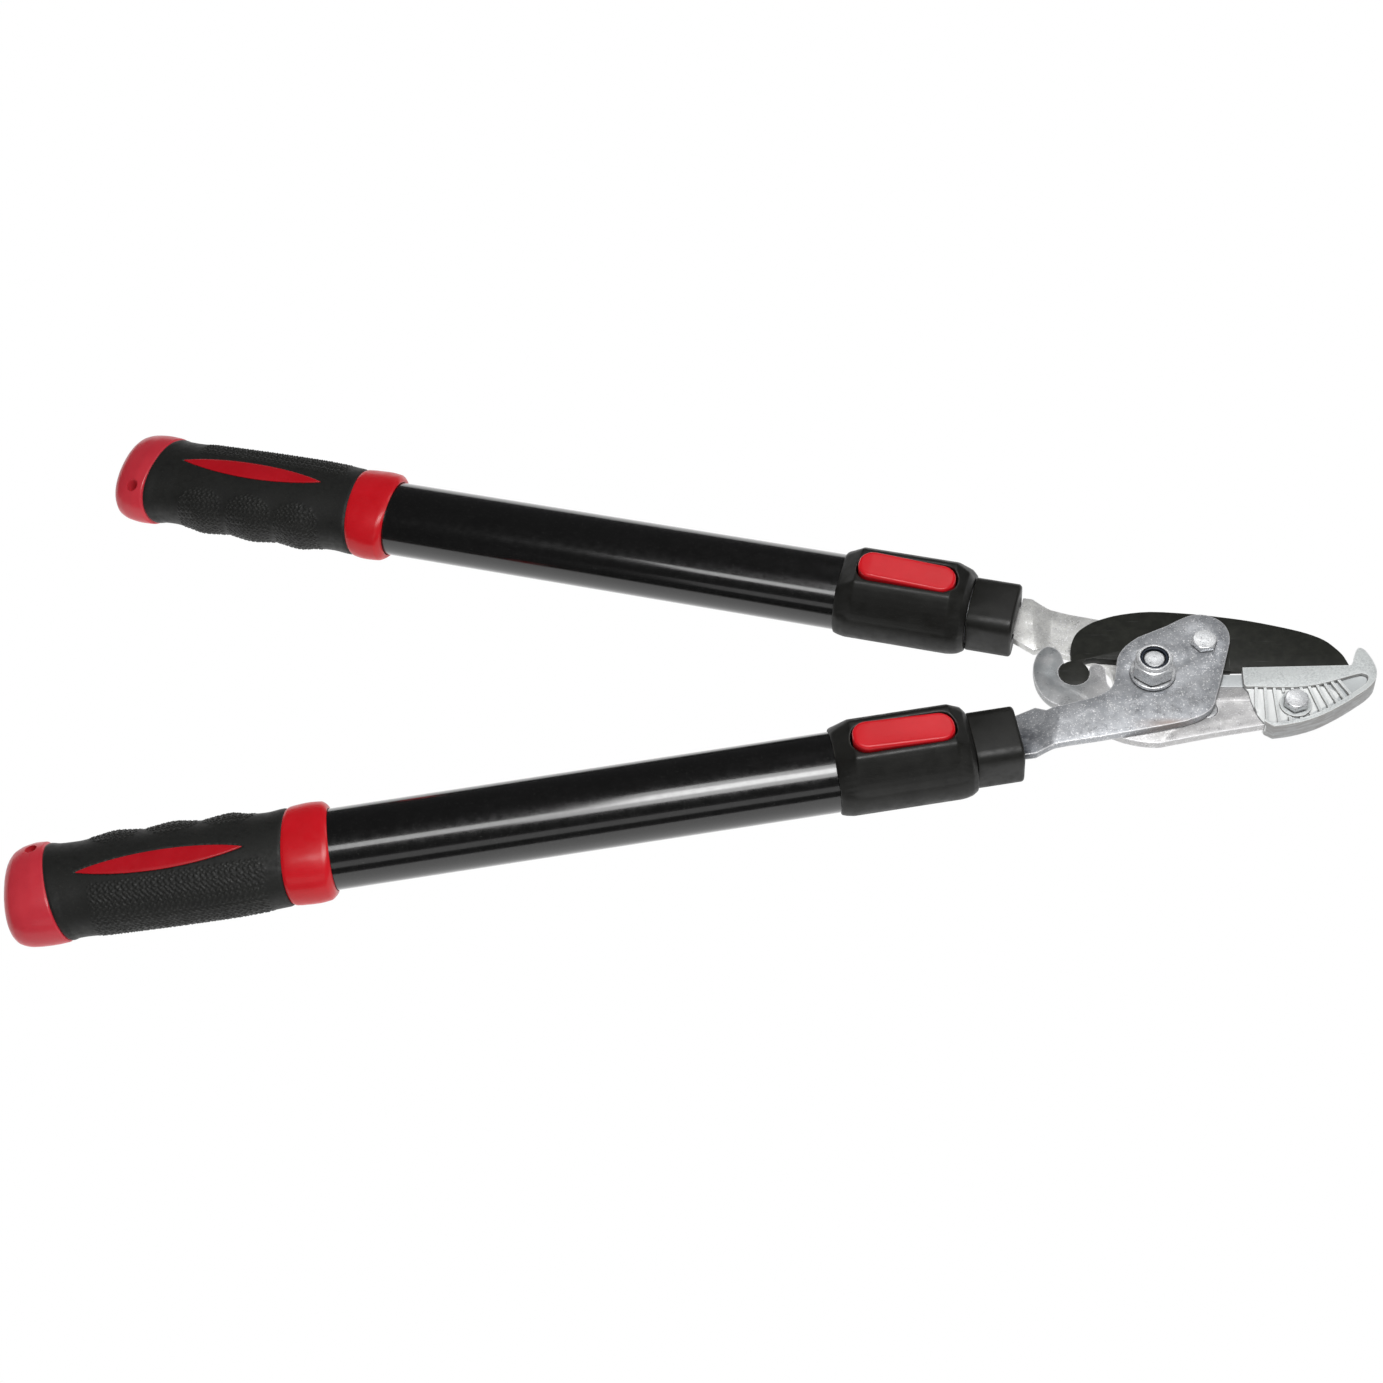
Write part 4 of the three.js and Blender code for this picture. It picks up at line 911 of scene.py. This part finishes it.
def make_camera():
    ca, sa = math.cos(CAMERA_AZIMUTH), math.sin(CAMERA_AZIMUTH)
    ce, se = math.cos(CAMERA_ELEVATION), math.sin(CAMERA_ELEVATION)
    back = Vector((sa * ce, -ca * ce, se))
    right = Vector((0, 0, 1)).cross(back).normalized()
    up = back.cross(right)
    c, d = math.cos(CAMERA_ROLL), math.sin(CAMERA_ROLL)
    across, above = c * right + d * up, -d * right + c * up
    data = bpy.data.cameras.new("camera")
    data.lens = CAMERA_LENS
    data.sensor_width = CAMERA_SENSOR
    data.clip_end = CAMERA_CLIP
    camera = bpy.data.objects.new("camera", data)
    rotation = Matrix((across, above, back)).transposed().to_4x4()
    camera.matrix_world = Matrix.Translation(CAMERA_TARGET + back * CAMERA_DISTANCE) @ rotation
    bpy.context.scene.collection.objects.link(camera)
    bpy.context.scene.camera = camera


def softbox(name, position, target, width, height, watts):
    """Rectangular area light, with its place and size in metres."""
    data = bpy.data.lights.new(name, "AREA")
    data.shape = "RECTANGLE"
    data.size = width
    data.size_y = height
    data.energy = watts
    light = bpy.data.objects.new(name, data)
    direction = Vector(target) - Vector(position)
    light.location = position
    light.rotation_euler = direction.to_track_quat("-Z", "Y").to_euler()
    bpy.context.scene.collection.objects.link(light)


def make_floor():
    """White ground that gives light without taking shadows."""
    mesh = bpy.data.meshes.new("floor")
    corners = [(-1, -1), (1, -1), (1, 1), (-1, 1)]
    mesh.from_pydata([(x * FLOOR_REACH, y * FLOOR_REACH, 0) for x, y in corners], [], [(0, 1, 2, 3)])
    floor = bpy.data.objects.new("floor", mesh)
    floor.location.z = -FLOOR_DROP
    bpy.context.scene.collection.objects.link(floor)
    material = bpy.data.materials.new("floor_white")
    material.use_nodes = True
    shader = next(n for n in material.node_tree.nodes if n.type == "BSDF_PRINCIPLED")
    shader.inputs["Base Color"].default_value = BLACK
    shader.inputs["Specular IOR Level"].default_value = 0.0
    shader.inputs["Emission Color"].default_value = WHITE
    shader.inputs["Emission Strength"].default_value = 1.0
    floor.data.materials.append(material)


def make_world():
    """White to the camera and a weak even fill for everything else."""
    world = bpy.data.worlds.new("studio")
    world.use_nodes = True
    tree = world.node_tree
    seen = tree.nodes["Background"]
    lit = tree.nodes.new("ShaderNodeBackground")
    seen.inputs["Color"].default_value = WHITE
    lit.inputs["Color"].default_value = FILL_LIGHT
    path = tree.nodes.new("ShaderNodeLightPath")
    mix = tree.nodes.new("ShaderNodeMixShader")
    tree.links.new(path.outputs["Is Camera Ray"], mix.inputs[0])
    tree.links.new(lit.outputs[0], mix.inputs[1])
    tree.links.new(seen.outputs[0], mix.inputs[2])
    tree.links.new(mix.outputs[0], tree.nodes["World Output"].inputs["Surface"])
    bpy.context.scene.world = world
    bpy.context.scene.view_settings.view_transform = "Standard"


for default in list(bpy.data.objects):
    bpy.data.objects.remove(default)
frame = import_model()
make_camera()
make_floor()
for light in LIGHTS:
    softbox(*light)
make_world()
materials = {
    # the upper plate's zinc is painted lighter than the lower plate's: painted light on the upper plate
    "upper_zinc": zinc("upper_zinc", (208, 208, 206), (240, 240, 236), 0.4, []),
    "lower_zinc": zinc("lower_zinc", (164, 167, 172), (200, 202, 205), 0.5, [
        # painted reflection: a dark bluish patch on the tang near the ferrule; the next patch is a brownish
        # tint along the plate's lower edge
        ((40, 44, 52), (-0.046, -0.058), (-0.024, -0.034)),
        ((150, 136, 130), (-0.012, 0.006), (-0.0245, -0.0275)),
    ]),
    "arm": zinc("arm_steel", (192, 191, 192), (224, 223, 222), 0.4, [
        ((150, 154, 156), (-0.018, -0.036), (-0.040, 0.000)),
    ]),
    "steel": bright_steel(), "cast": cast_metal(), "blade": coated_blade(),
    "tube": tube_paint(), "inner": inner_metal(), "plastic": black_plastic(),
    "rubber": rubber(), "nylon": nylon(),
    "red": red_plastic("red_plastic", (216, 20, 32), (226, 28, 40)),
    "inlay": red_plastic("red_inlay", (198, 18, 32), (208, 26, 40)),
    "cap": red_plastic("red_cap", (222, 56, 70), (232, 66, 78)),
}
build_head(materials)
for prefix, side in SIDES.items():
    build_handle(prefix, side, materials)
